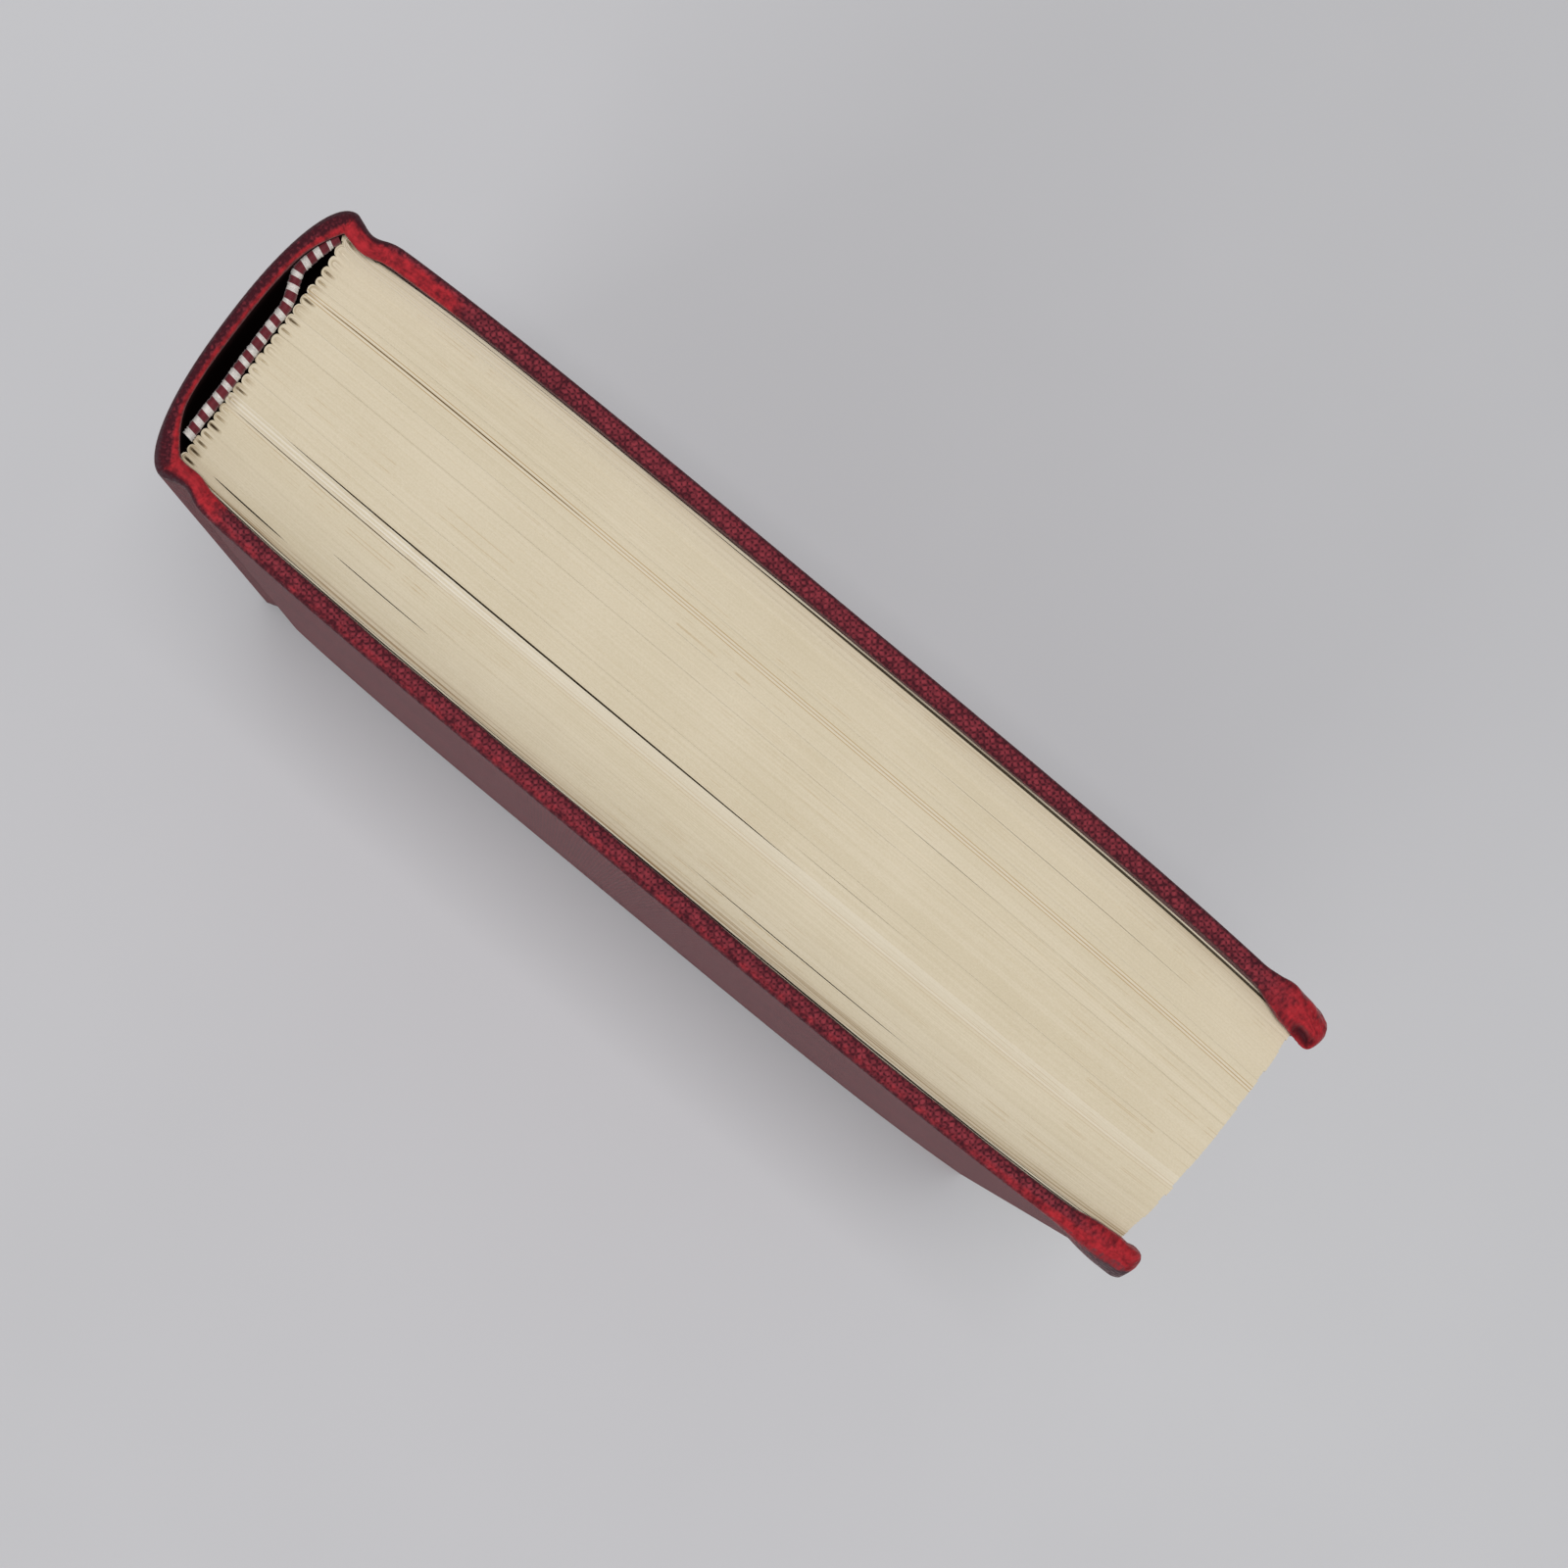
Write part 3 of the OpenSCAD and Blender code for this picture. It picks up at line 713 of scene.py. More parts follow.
def build_gathering_tree():
    """Folded gatherings side by side, one on each source point, with parted places at the head."""
    sizes = ["Page width", "Page foot", "Page head", "Half block", "Fold line", "Fold depth", "Fore reach",
             "Fore round", "Deckle", "Leaf step", "Bow", "Backing", "Half lean", "Seam gap", "Slit depth",
             "Eye depth"]
    lean_share, backing_reach, eye_half = 0.814, 4.5, 0.17
    nodes, wires, out = node_group(
        "sewn_gatherings", "GeometryNodeTree",
        [("Geometry", GEOMETRY, None), ("Fan", FLOAT, 0.27)] + [(size, FLOAT, 0.0) for size in sizes]
        + [("Seed", FLOAT, 3.0), ("Paper", MATERIAL, None)], [("Geometry", GEOMETRY)])
    cube = nodes.add("GeometryNodeMeshCube", {
        "Size": (1, 1, 1), "Vertices X": 58, "Vertices Y": 21, "Vertices Z": 10})
    placed = nodes.add("GeometryNodeInstanceOnPoints", {
        "Points": wires["Geometry"], "Instance": nodes.out(cube)})
    blocks = nodes.out(nodes.add("GeometryNodeRealizeInstances", (nodes.out(placed),)))
    px, py, pz = nodes.split(nodes.out(nodes.add("GeometryNodeInputPosition")))
    along, across, rise = px + 0.5, py + 0.5, pz + 0.5
    number = named_attribute(nodes, "gathering")
    width, seed = wires["Page width"], wires["Seed"]
    # More points near the folds, the head and the tail
    run = along * 0.07 + (along ** 2.2) * 0.93
    lift = rise - nodes.math("SINE", rise * (2 * math.pi)) * (0.9 / (2 * math.pi))
    # Heights of the trimmed leaves
    leaf_noise = nodes.noise(nodes.combine(across * 9.0 + number * 17.0, rise * 3.0, seed), 1.0, 2.0)
    edge_noise = nodes.noise(nodes.combine(across * 11.0 + number * 17.0, rise * 60.0, seed + 5.0), 1.0, 2.0)
    foot = wires["Page foot"] + named_attribute(nodes, "tail_cut") * wires["Leaf step"] * 2.0
    head = wires["Page head"] - named_attribute(nodes, "head_cut") * wires["Leaf step"] * 2.0
    height = foot + (head - foot) * lift + (leaf_noise - 0.5) * wires["Leaf step"] * (lift * 2.0 - 1.0) * 2.0
    # From the folds to the fore-edge
    front_share, back_share = named_attribute(nodes, "front_share"), named_attribute(nodes, "back_share")
    middle = front_share + (back_share - front_share) * across
    valley = nodes.math("SQRT", nodes.math("MAXIMUM", 1.0 - (across * 2.0 - 1.0) ** 2.0, 0.0))
    lean = middle * wires["Half lean"] * -lean_share
    outer = nodes.math("ABSOLUTE", middle) ** 10.0 * (nodes.math("GREATER_THAN", middle, 0.0) * 0.9 + 0.5)
    start = ((1.0 - valley + named_attribute(nodes, "fold_cut")) * wires["Fold depth"] + lean
             - outer * wires["Backing"])
    rough = named_attribute(nodes, "fore_cut") + (edge_noise - 0.5) * 2.4
    end = (width + wires["Fore reach"] - nodes.math("ABSOLUTE", middle) ** 3.0 * wires["Fore round"]
           - rough * wires["Deckle"])
    depth = start + (end - start) * run
    # Across the block, from the front of each gathering to its back
    bowed = wires["Half block"] - nodes.math("ABSOLUTE", depth / width * 2.0 - 1.0) ** 4.0 * wires["Bow"]
    spread = nodes.math("MAXIMUM", 1.0 - depth * MM / backing_reach, 0.0) ** 2.0 * wires["Backing"]
    shallow = nodes.math("MAXIMUM", 1.0 - (wires["Page head"] - height) / wires["Slit depth"], 0.0)

    def gap(edge):
        """Half the gap between a gathering and its neighbour on one side."""
        begin = named_attribute(nodes, edge + "_from")
        t = (depth + wires["Fold line"] - begin) / (named_attribute(nodes, edge + "_to") - begin)
        hump = nodes.math("MAXIMUM", t * (1.0 - t) * 4.0, 0.0)
        seam = named_attribute(nodes, edge + "_seam") * wires["Seam gap"]
        return (nodes.math("SQRT", hump) * named_attribute(nodes, edge + "_gap") * shallow + seam) * 0.5

    def boundary(part):
        """Where the line between two gatherings runs across the block."""
        thinner = nodes.math("MAXIMUM", part, 0.0) * (1.0 - part) * wires["Fan"] * depth / width
        return (part - thinner) * bowed + nodes.math("MAXIMUM", part, 0.0) ** 5.0 * spread

    front = boundary(front_share) + gap("front")
    back = boundary(back_share) - gap("back")
    side = front + (back - front) * across
    # Leaves are nested round the fold, and the innermost leave a small hollow
    half_leaf = (back - front) * 0.5
    inside = nodes.math("MINIMUM", depth - lean - half_leaf, 0.0)
    from_middle = side - (front + back) * 0.5
    nested = half_leaf - nodes.math("SQRT", inside * inside + from_middle * from_middle)
    behind = (depth - lean) * MM
    beside = nodes.ease(nodes.math("ABSOLUTE", from_middle) * MM, 0.0, eye_half)
    eye = ((1.0 - beside) * nodes.ease(behind, 0.2, 0.45) * (1.0 - nodes.ease(behind, 0.7, 2.0))
           * named_attribute(nodes, "open"))
    height = height - eye * (lift * 2.0 - 1.0) * wires["Eye depth"]
    # The paper material also reads the eye as painted shade in the hollow
    blocks = store(nodes, blocks, "eye", eye)
    blocks = store(nodes, blocks, "leaf", nested * MM + number * 1.7)
    blocks = store(nodes, blocks, "from_fold", behind)
    blocks = store(nodes, blocks, "from_cover", (bowed - nodes.math("ABSOLUTE", side)) * MM)
    blocks = store(nodes, blocks, "front_mm", (side - front) * MM)
    blocks = store(nodes, blocks, "back_mm", (back - side) * MM)
    moved = nodes.add("GeometryNodeSetPosition", {
        "Geometry": blocks, "Position": nodes.combine(depth + wires["Fold line"], side, height)})
    flat = nodes.add("GeometryNodeSetShadeSmooth", {"Geometry": nodes.out(moved), "Shade Smooth": False})
    painted = nodes.add("GeometryNodeSetMaterial", {"Geometry": nodes.out(flat), "Material": wires["Paper"]})
    nodes.put(out.inputs["Geometry"], nodes.out(painted))
    return nodes.tree


def build_band_tree():
    """Thread loops of two colours round a cord that follows the source line."""
    nodes, wires, out = node_group(
        "striped_band", "GeometryNodeTree",
        [("Geometry", GEOMETRY, None), ("Thread pitch", FLOAT, 0.00034), ("Bead radius", FLOAT, 0.00075),
         ("Light threads", FLOAT, 2.0), ("Stripe threads", FLOAT, 5.0), ("Unevenness", FLOAT, 6.0),
         ("Seed", INTEGER, 4), ("Light", MATERIAL, None), ("Dark", MATERIAL, None)],
        [("Geometry", GEOMETRY)])
    line = nodes.out(nodes.add("GeometryNodeMeshToCurve", (wires["Geometry"],)))
    spaced = nodes.out(nodes.add("GeometryNodeResampleCurve", {
        "Curve": line, "Length": wires["Thread pitch"]}, mode="LENGTH"))
    slant = nodes.add("ShaderNodeVectorMath", (nodes.out(nodes.add("GeometryNodeInputTangent")), (0.2, 0, 0)),
                      operation="ADD")
    turn = nodes.out(nodes.add("FunctionNodeAlignRotationToVector", {"Vector": nodes.out(slant)}, axis="Z"))
    ring = nodes.out(nodes.add("GeometryNodeCurvePrimitiveCircle", {
        "Resolution": 14, "Radius": wires["Bead radius"] - wires["Thread pitch"] * 0.5}))
    strand = nodes.out(nodes.add("GeometryNodeCurvePrimitiveCircle", {
        "Resolution": 6, "Radius": wires["Thread pitch"] * 0.56}))
    loop = nodes.out(nodes.add("GeometryNodeCurveToMesh", {"Curve": ring, "Profile Curve": strand}))
    smallest, largest = 0.93, 1.08
    random = nodes.add("FunctionNodeRandomValue", {2: smallest, 3: largest, "Seed": wires["Seed"]},
                       data_type="FLOAT")
    size = nodes.out(random, 1)
    index = nodes.out(nodes.add("GeometryNodeInputIndex"))
    uneven = (nodes.noise(nodes.combine(index * 0.17, wires["Seed"]), 1.0) - 0.5) * wires["Unevenness"]
    stripe = nodes.math("LESS_THAN", nodes.math("FLOORED_MODULO", index + uneven, wires["Stripe threads"]),
                        wires["Light threads"])
    striped = store(nodes, spaced, "stripe", stripe)
    loops = nodes.out(nodes.add("GeometryNodeInstanceOnPoints", {
        "Points": striped, "Instance": loop, "Rotation": turn, "Scale": nodes.combine(size, size, 1.0)}))
    core_ring = nodes.out(nodes.add("GeometryNodeCurvePrimitiveCircle", {
        "Resolution": 12, "Radius": wires["Bead radius"] * 0.85}))
    core = nodes.out(nodes.add("GeometryNodeCurveToMesh", {
        "Curve": line, "Profile Curve": core_ring, "Fill Caps": True}))
    joined = nodes.add("GeometryNodeJoinGeometry")
    for part in (core, loops):
        nodes.put(joined.inputs[0], part)
    solid = nodes.out(nodes.add("GeometryNodeRealizeInstances", (nodes.out(joined),)))
    band = nodes.out(nodes.add("GeometryNodeSetShadeSmooth", {"Geometry": solid, "Shade Smooth": True}))
    light = nodes.math("GREATER_THAN", named_attribute(nodes, "stripe"), 0.5)
    for material, chosen in (("Dark", True), ("Light", light)):
        band = nodes.out(nodes.add("GeometryNodeSetMaterial", {
            "Geometry": band, "Selection": chosen, "Material": wires[material]}))
    nodes.put(out.inputs["Geometry"], band)
    return nodes.tree


class BOOK_OT_page_block(bpy.types.Operator):
    """Make the text block from its folded gatherings"""

    bl_idname = "book.page_block"
    bl_label = "Page block"

    def execute(self, context):
        shape, finish = context.scene.book_shape, context.scene.book_finish
        count = shape.gatherings
        draw = np.random.default_rng(7)
        numbers = np.arange(count)
        places = np.interp(np.arange(count + 1) * PLACES[-1][0] / count, *zip(*PLACES))
        middle = np.abs(places[:-1] + places[1:]) / 2
        shades = {
            "gathering": numbers, "front_share": places[:-1], "back_share": places[1:],
            "fore_cut": draw.uniform(0, 1, count), "head_cut": draw.uniform(0, 1, count),
            "tail_cut": draw.uniform(0, 1, count), "fold_cut": draw.uniform(-0.25, 0.25, count),
            "open": draw.uniform(0, 1, count) ** 4 * 0.7 + 0.9 * np.exp(-numbers / 2.5),
            "soil": 0.05 + 0.3 * np.where(numbers < count / 2, middle ** 8, 0.3 * middle ** 10),
            "pale": np.zeros(count), "front_rim": np.zeros(count), "back_rim": np.zeros(count)}
        for number, paleness in PALE:
            shades["pale"][number] = paleness
        for number, strength in RIMS:
            shades["front_rim"][number] = shades["back_rim"][number - 1] = strength
        closed = (1.0, 2.0, 0.0)
        slits = {edge: np.tile(closed, (count, 1)) for edge in ("front", "back")}
        for number, begin, end, wide in SLITS:
            slits["front"][number] = slits["back"][number - 1] = (begin / MM, end / MM, wide / MM)
        seams = draw.uniform(0, 1, count + 1) ** 4
        shades.update({"front_seam": seams[:-1], "back_seam": seams[1:]})
        for edge, rows in slits.items():
            shades.update({edge + "_from": rows[:, 0], edge + "_to": rows[:, 1], edge + "_gap": rows[:, 2]})
        source = point_source("gathering_points", [(0, 0, 0)] * count, shades=shades)
        piece = evaluated_piece("page_block", source, build_gathering_tree(), {
            "Page width": shape.page_width, "Page foot": shape.page_foot, "Page head": shape.page_head,
            "Half block": shape.block_half, "Fold line": shape.fold_line, "Fold depth": shape.fold_depth,
            "Fore reach": shape.fore_reach, "Fore round": shape.fore_round, "Deckle": shape.deckle,
            "Leaf step": shape.leaf_step, "Bow": shape.bow, "Backing": shape.backing,
            "Half lean": shape.lean / 2, "Seam gap": shape.seam_gap, "Slit depth": shape.slit_depth,
            "Eye depth": shape.eye_depth, "Fan": shape.fan, "Seed": 3.0, "Paper": page_material(finish)})
        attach(piece, "text_block")
        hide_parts("text_block")
        return {"FINISHED"}


class BOOK_OT_flyleaves(bpy.types.Operator):
    """Make the two free endpapers, a little cockled"""

    bl_idname = "book.flyleaves"
    bl_label = "Flyleaves"

    COLUMNS, ROWS = 64, 60
    # In millimetres: how far the head edge stands off the block, and how much the back leaf has swollen there
    LIFT, SWELL = 0.26, 0.2

    def execute(self, context):
        shape = context.scene.book_shape
        plan = Plan(shape)
        material = bpy.data.materials.get("endpaper_leaf") or endpaper_material(context.scene.book_finish)
        thick = shape.paper_thick * MM
        for name, side in SIDES.items():
            low, high = (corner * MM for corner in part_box(name + "_flyleaf"))
            across = np.linspace(low.x, high.x - 0.2, self.COLUMNS)
            rise = np.linspace(low.z, high.z - 0.1, self.ROWS)
            x, z = np.meshgrid(across, rise, indexing="ij")
            rough = wobble(np.stack([x * 0.1, 0 * x, z], -1), size=30, seed=40 + side)
            x = x - smooth(x, high.x - 4, high.x) * 0.35 * (rough + 1)
            cockle = 0.03 + 0.04 * wobble(np.stack([x, 0 * x, z * 0.6], -1), size=60, seed=50 + side)
            cockle = np.clip(cockle, 0, 0.1) * smooth(x, low.x + 3, low.x + 15)
            at_head = smooth(z, high.z - 6, high.z - 1)
            stuck = smooth(x, -25, 5) if side > 0 else 0.5 + 0.5 * rough
            near = plan.block - plan.drop(x) + 0.01 + cockle + self.LIFT * stuck * at_head
            # Towards the spine the head edge of the back leaf has swollen to the cover
            swollen = self.SWELL * (smooth(x, low.x + 1, low.x + 9) - stuck) * at_head * (side > 0)
            grids = [np.stack([x, side * level, z], -1) for level in (near + thick + swollen, near)]
            edge = np.minimum(np.minimum(high.x - x, high.z - z), z - low.z)
            soil = 0.12 + 0.45 * np.exp(-edge / 5)
            flat = np.stack([x, z], -1).reshape(-1, 2)
            piece = leaf_piece(name + "_free_endpaper", *grids, material, flat, {"soil": soil.ravel()})
            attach(piece, "text_block")
            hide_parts(name + "_flyleaf")
        return {"FINISHED"}


class BOOK_OT_bands(bpy.types.Operator):
    """Wind the head and tail bands with light and dark thread and glue them on with their tapes"""

    bl_idname = "book.bands"
    bl_label = "Bands"

    LINE_POINTS = 120
    TAPE_ROWS = 12
    # How far the outer and the inner face of the tape lie from the folds, in millimetres
    TAPE_FACES = (0.3, 0.02)

    def execute(self, context):
        shape, finish = context.scene.book_shape, context.scene.book_finish
        plan = Plan(shape)
        light = thread_material("light_band_thread", finish.band_light)
        dark = thread_material("dark_band_thread", finish.band_dark)
        # The tapes are dark as painted shade in the hollow
        tape_shade = dull_material("band_tape_shade", finish.band_tape_shade)
        tree = build_band_tree()
        bead, half = shape.band_thick * MM, shape.band_half * MM
        shift = shape.band_shift * MM
        y = np.linspace(shift - half, shift + half, self.LINE_POINTS)
        spine_power = shape.spine_power
        hollow = (shape.spine_reach * (1 - np.abs(y / plan.half) ** spine_power) ** (1 / spine_power)
                  - shape.lip_thick - shape.band_thick) * MM
        for name, level, up, loose in (("head", shape.page_head, 1, shape.band_loose * MM),
                                       ("tail", shape.page_foot, -1, 0.0)):
            away = np.minimum(loose * smooth(y, 0.35 * half, 0.75 * half), np.maximum(hollow - 0.1, 0))
            waver = 0.06 * wobble(np.stack([0 * y, y, 0 * y], -1), size=7, seed=60 + up)
            x = plan.fold + plan.lean_at(y) - bead / 2 - away + waver
            z = level * MM + up * (bead / 4 + 0.1 * waver)
            line = np.stack([x, y, z + 0 * y], -1)
            edges = [(i, i + 1) for i in range(len(y) - 1)]
            source = point_source(name + "band_line", (line / MM).tolist(), edges)
            piece = evaluated_piece(name + "band_threads", source, tree, {
                "Thread pitch": shape.thread_pitch, "Bead radius": shape.band_thick / 2, "Light threads": 4.0,
                "Stripe threads": 10.0, "Unevenness": 6.0, "Seed": 4, "Light": light, "Dark": dark})
            rows = np.linspace(0, 1, self.TAPE_ROWS)
            drop = np.linspace(0, shape.tape_high * MM, self.TAPE_ROWS)
            tape_x = plan.fold + plan.lean_at(y)[:, None] - away[:, None] * (1 - rows ** 3)
            tape_y, tape_z = np.meshgrid(y, level * MM - up * drop, indexing="ij")
            grids = [np.stack([tape_x - offset, tape_y, tape_z], -1) for offset in self.TAPE_FACES]
            tape = leaf_piece(name + "band_tape_shade", *grids, tape_shade, np.zeros((tape_x.size, 2)), {})
            for made in (piece, tape):
                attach(made, "text_block")
                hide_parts(name + "band")
        return {"FINISHED"}


def case_line(plan, shape, side):
    """Outer line of the cloth from the middle of the spine to the fore-edge.

    Gives its points, their outward directions, the run along the line to each of them, the whole run and the
    run to the hinge.
    """
    samples, window = 4000, 31
    fine, coarse = 0.08, 0.4
    past_middle, spine_steps = 0.2, 260
    exponent = 2 / shape.spine_power
    turn = np.linspace(-past_middle, math.pi / 2, spine_steps)
    spine_y = plan.half * np.sign(turn) * np.abs(np.sin(turn)) ** exponent
    reach = shape.spine_reach * MM * np.abs(np.cos(turn)) ** exponent
    spine_x = plan.fold + plan.lean_at(side * spine_y) - reach
    hinge = plan.hinge[side]
    past_joint = hinge + 8
    flat_x = np.concatenate([np.arange(spine_x[-1] + fine, past_joint, fine),
                             np.arange(past_joint, plan.fore, coarse), [plan.fore]])
    valley = shape.groove_depth * MM * np.exp(-((flat_x - hinge) / (shape.groove_width * MM)) ** 2)
    flat_y = plan.out - plan.drop(np.maximum(flat_x, plan.shoulder)) - valley
    line = np.stack([np.concatenate([spine_x, flat_x]), np.concatenate([spine_y, flat_y])], -1)
    run = np.concatenate([[0], np.cumsum(np.linalg.norm(np.diff(line, axis=0), axis=1))])
    run -= np.interp(0, spine_y, run[:len(turn)])
    even = np.linspace(run[0], run[-1], samples)
    line = np.stack([np.interp(even, run, line[:, axis]) for axis in range(2)], -1)
    kernel = np.hanning(window) / np.hanning(window).sum()
    padding = window // 2
    padded = np.concatenate([np.repeat(line[:1], padding, 0), line, np.repeat(line[-1:], padding, 0)])
    soft = np.stack([np.convolve(padded[:, axis], kernel, "valid") for axis in range(2)], -1)
    keep = (even > 0.3) & (even < even[-1] - 1.2)
    line[keep] = soft[keep]
    tangent = np.gradient(line, axis=0)
    tangent /= np.linalg.norm(tangent, axis=1)[:, None]
    normal = np.stack([-tangent[:, 1], tangent[:, 0]], -1)
    total = even[-1]
    later = samples // 8
    joint = np.interp(hinge, line[later:, 0], even[later:])
    stations = np.concatenate([
        [0, 0.02], np.arange(0.6, joint - 5, 0.6), np.arange(joint - 5, joint + 6, 0.3),
        np.arange(joint + 6, total - 14, 1.6), np.arange(total - 14, total - 1.2, 0.35),
        total - 1.0 + np.sin(np.linspace(0, math.pi / 2, 8))])
    points, directions = (
        np.stack([np.interp(stations, even, values[:, axis]) for axis in range(2)], -1)
        for values in (line, normal))
    return points, directions, stations, total, joint


def join_at_hinge(piece, plan, shape, name, side):
    """Bake the piece's transform into its mesh; the turn over the joint groove is not made.
    """
    reach = shape.hinge_reach * MM
    ends = (plan.hinge[side] - reach, plan.hinge[side] + reach)
    near, far = [Vector((x, side * plan.half, plan.head / 2)) / MM for x in ends]
    if side > 0:
        name + "_cover"
        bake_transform(piece)
    else:
        name + "_cover"
        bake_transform(piece)


class BOOK_OT_case_cloth(bpy.types.Operator):
    """Cover boards and spine with book cloth, rolled over the head and tail and worn at its edges"""

    bl_idname = "book.case_cloth"
    bl_label = "Case cloth"

    # Steps of a section up each face, round each edge and across the head
    RISE, ROLL, TOP = 44, 5, 8
    # How far wear reaches from an edge, from the fore-edge and from a corner, and how far the cloth is frayed
    EDGE_WEAR, FORE_WEAR, CORNER_WEAR, FRAY = 1.1, 1.2, 8.0, 1.6
    # How far the outer edge of the front board is rubbed
    RUBBED = 16.0
    # Rounding of the cover's corners, as seen from outside, and of the end of a knocked corner
    CORNER_ROUND, TIP_ROUND = 1.8, 1.9
    # Depth of the crease in the knocked back corner
    CREASE_DEPTH = 1.6

    def ring(self, shape, thick, edge, round_edge, top, foot, relief, room, bulge):
        """Closed section of one station: offsets from the outer line and heights, from inside the cover."""
        t = np.linspace(0, 1, self.RISE + 1)
        crowded = t - np.sin(2 * math.pi * t) * 0.88 / (2 * math.pi)
        levels = foot + round_edge + (top - foot - 2 * round_edge) * crowded
        angle = np.linspace(0, math.pi / 2, self.ROLL + 1)
        cosine, sine = round_edge * np.cos(angle), round_edge * np.sin(angle)
        outer_d, inner_d = -edge, -thick + edge
        from_edge = np.minimum(levels - foot, top - levels)
        turn_in, margin = shape.turn_in * MM, shape.paste_margin * MM
        inner_face = (inner_d + relief * smooth(from_edge, turn_in - 0.8, turn_in + 0.4)
                      + room * smooth(from_edge, margin - 2.5, margin - 0.5))
        outer_axis, inner_axis = outer_d - round_edge, inner_d + round_edge
        flat = np.linspace(outer_axis, inner_axis, self.TOP + 2)[1:-1]
        over_d = np.concatenate([outer_axis + cosine[1:], flat, inner_axis - cosine[::-1][:-1]])
        rise = np.concatenate([sine[1:], np.full(self.TOP, round_edge), sine[::-1][:-1]]) - round_edge
        half = self.RISE // 2
        offsets = np.concatenate([inner_face[half::-1], over_d[::-1], np.full(self.RISE + 1, outer_d), over_d,
                                  inner_face[:half:-1]])
        heights = np.concatenate([levels[half::-1], foot - rise[::-1], levels, top + rise, levels[:half:-1]])
        rolled = np.exp(-((top - heights) / 2.2) ** 2) + np.exp(-((heights - foot) / 2.2) ** 2)
        offsets = offsets - bulge * rolled * smooth(-offsets / thick, 0.3, 0.9)
        return offsets, heights

    def execute(self, context):
        shape, finish = context.scene.book_shape, context.scene.book_finish
        plan = Plan(shape)
        material = cloth_material(finish)
        # Dark material for the cloth inside the hollow back, as painted shade
        hollow = dull_material("hollow_back_shade", finish.hollow_shade)
        for name, side in SIDES.items():
            self.cover(shape, plan, material, hollow, name, side)
        return {"FINISHED"}

    def cover(self, shape, plan, material, hollow, name, side):
        """Cloth of one cover with its half of the spine."""
        line, normal, stations, total, joint = case_line(plan, shape, side)
        hinge, setback = plan.hinge[side], shape.board_setback * MM
        outward = np.abs(line[:, 1]) / plan.half
        before = line[:, 0] < hinge
        lip, groove = shape.lip_thick * MM, shape.joint_thick * MM
        shoulder = getattr(shape, name + "_shoulder") * MM
        on_board = smooth(line[:, 0], hinge + 0.4, hinge + setback)
        on_spine = lip + (shoulder - lip) * smooth(outward, 0.55, 0.97)
        on_spine += (groove - on_spine) * smooth(line[:, 0], hinge - 2.4, hinge - 0.3)
        thick = np.where(before, on_spine, groove + (plan.cover - groove) * on_board)
        bulge = shape.edge_round * MM
        edge_in = np.clip(stations - (total - bulge), 0, bulge)
        edge = bulge - np.sqrt(np.maximum(bulge ** 2 - edge_in ** 2, 0))
        lip_round = np.minimum(thick * 0.49, 0.66)
        round_edge = np.where(before, lip_round, lip_round + (bulge - lip_round) * on_board)
        round_edge = np.minimum(round_edge, (thick - 2 * edge) * 0.49)
        corner = self.CORNER_ROUND
        corner_in = np.clip(stations - (total - corner), 0, corner)
        shorter = corner - np.sqrt(np.maximum(corner ** 2 - corner_in ** 2, 0))
        turned_in = total - shape.turn_in * MM
        relief = shape.turn_step * MM * on_board * (1 - smooth(stations, turned_in - 0.4, turned_in + 0.8))
        paper_level = plan.block + 0.45 - plan.drop(line[:, 0])
        room = np.maximum(thick - (line[:, 1] - paper_level), 0)
        room *= smooth(line[:, 0], hinge - 3.4, hinge - 2.4)
        wave = wobble(np.stack([line[:, 0], side * line[:, 1], 0 * outward], -1), size=13, seed=71)
        off_board = 1 - on_board
        rolled = (0.1 + 0.12 * wave) * on_board
        rolled += (0.2 + 0.15 * wave) * off_board * smooth(outward, 0.6, 0.97)
        rolled += 0.35 * np.exp(-((stations - joint) / 2.2) ** 2)
        uneven = thick * (1 + 0.05 * wave * off_board)
        top = plan.head - shorter - 0.04 * (wave + 1) * off_board
        rows = zip(uneven, edge, round_edge, top, plan.foot + shorter, relief, room, rolled)
        sections = [self.ring(shape, *row) for row in rows]
        offsets, heights = (np.array(part) for part in zip(*sections))
        count = offsets.shape[1]
        across = line[:, :1] + normal[:, :1] * offsets
        outwards = side * (line[:, 1:] + normal[:, 1:] * offsets)
        points = np.stack([across, outwards, heights], -1)
        first_outer = self.RISE // 2 + 1 + 2 * self.ROLL + self.TOP
        lengths = np.linalg.norm(np.diff(points, axis=1), axis=2)
        turned = np.concatenate([np.zeros((len(stations), 1)), np.cumsum(lengths, axis=1)], axis=1)
        turned += (heights - turned)[:, first_outer:first_outer + 1]
        flat = np.stack([np.repeat(side * stations[:, None], count, 1), turned], -1)
        shades = self.wear(plan, side, stations, total, joint, offsets, heights, thick, line, wave)
        # The crease also sets painted shade in the cloth's colour
        shades["crease"] = self.crease(plan, side, points)
        points = self.knock(plan, shape, name, side, points, shades["crease"])
        faces = grid_faces(len(stations), count, wrap=True) + self.ends(len(stations), count, first_outer)
        inside = shades.pop("inside").ravel()
        piece = mesh_piece(name + "_case_cloth", points, faces, material, flat, shades)
        # Faces inside the hollow back take the dark material as painted shade
        piece.data.materials.append(hollow)
        piece.data.polygons.foreach_set("material_index", [int(inside[face].mean() > 0.5) for face in faces])
        join_at_hinge(piece, plan, shape, name, side)
        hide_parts(name + "_cover_cloth", name + "_board", "spine_cloth")

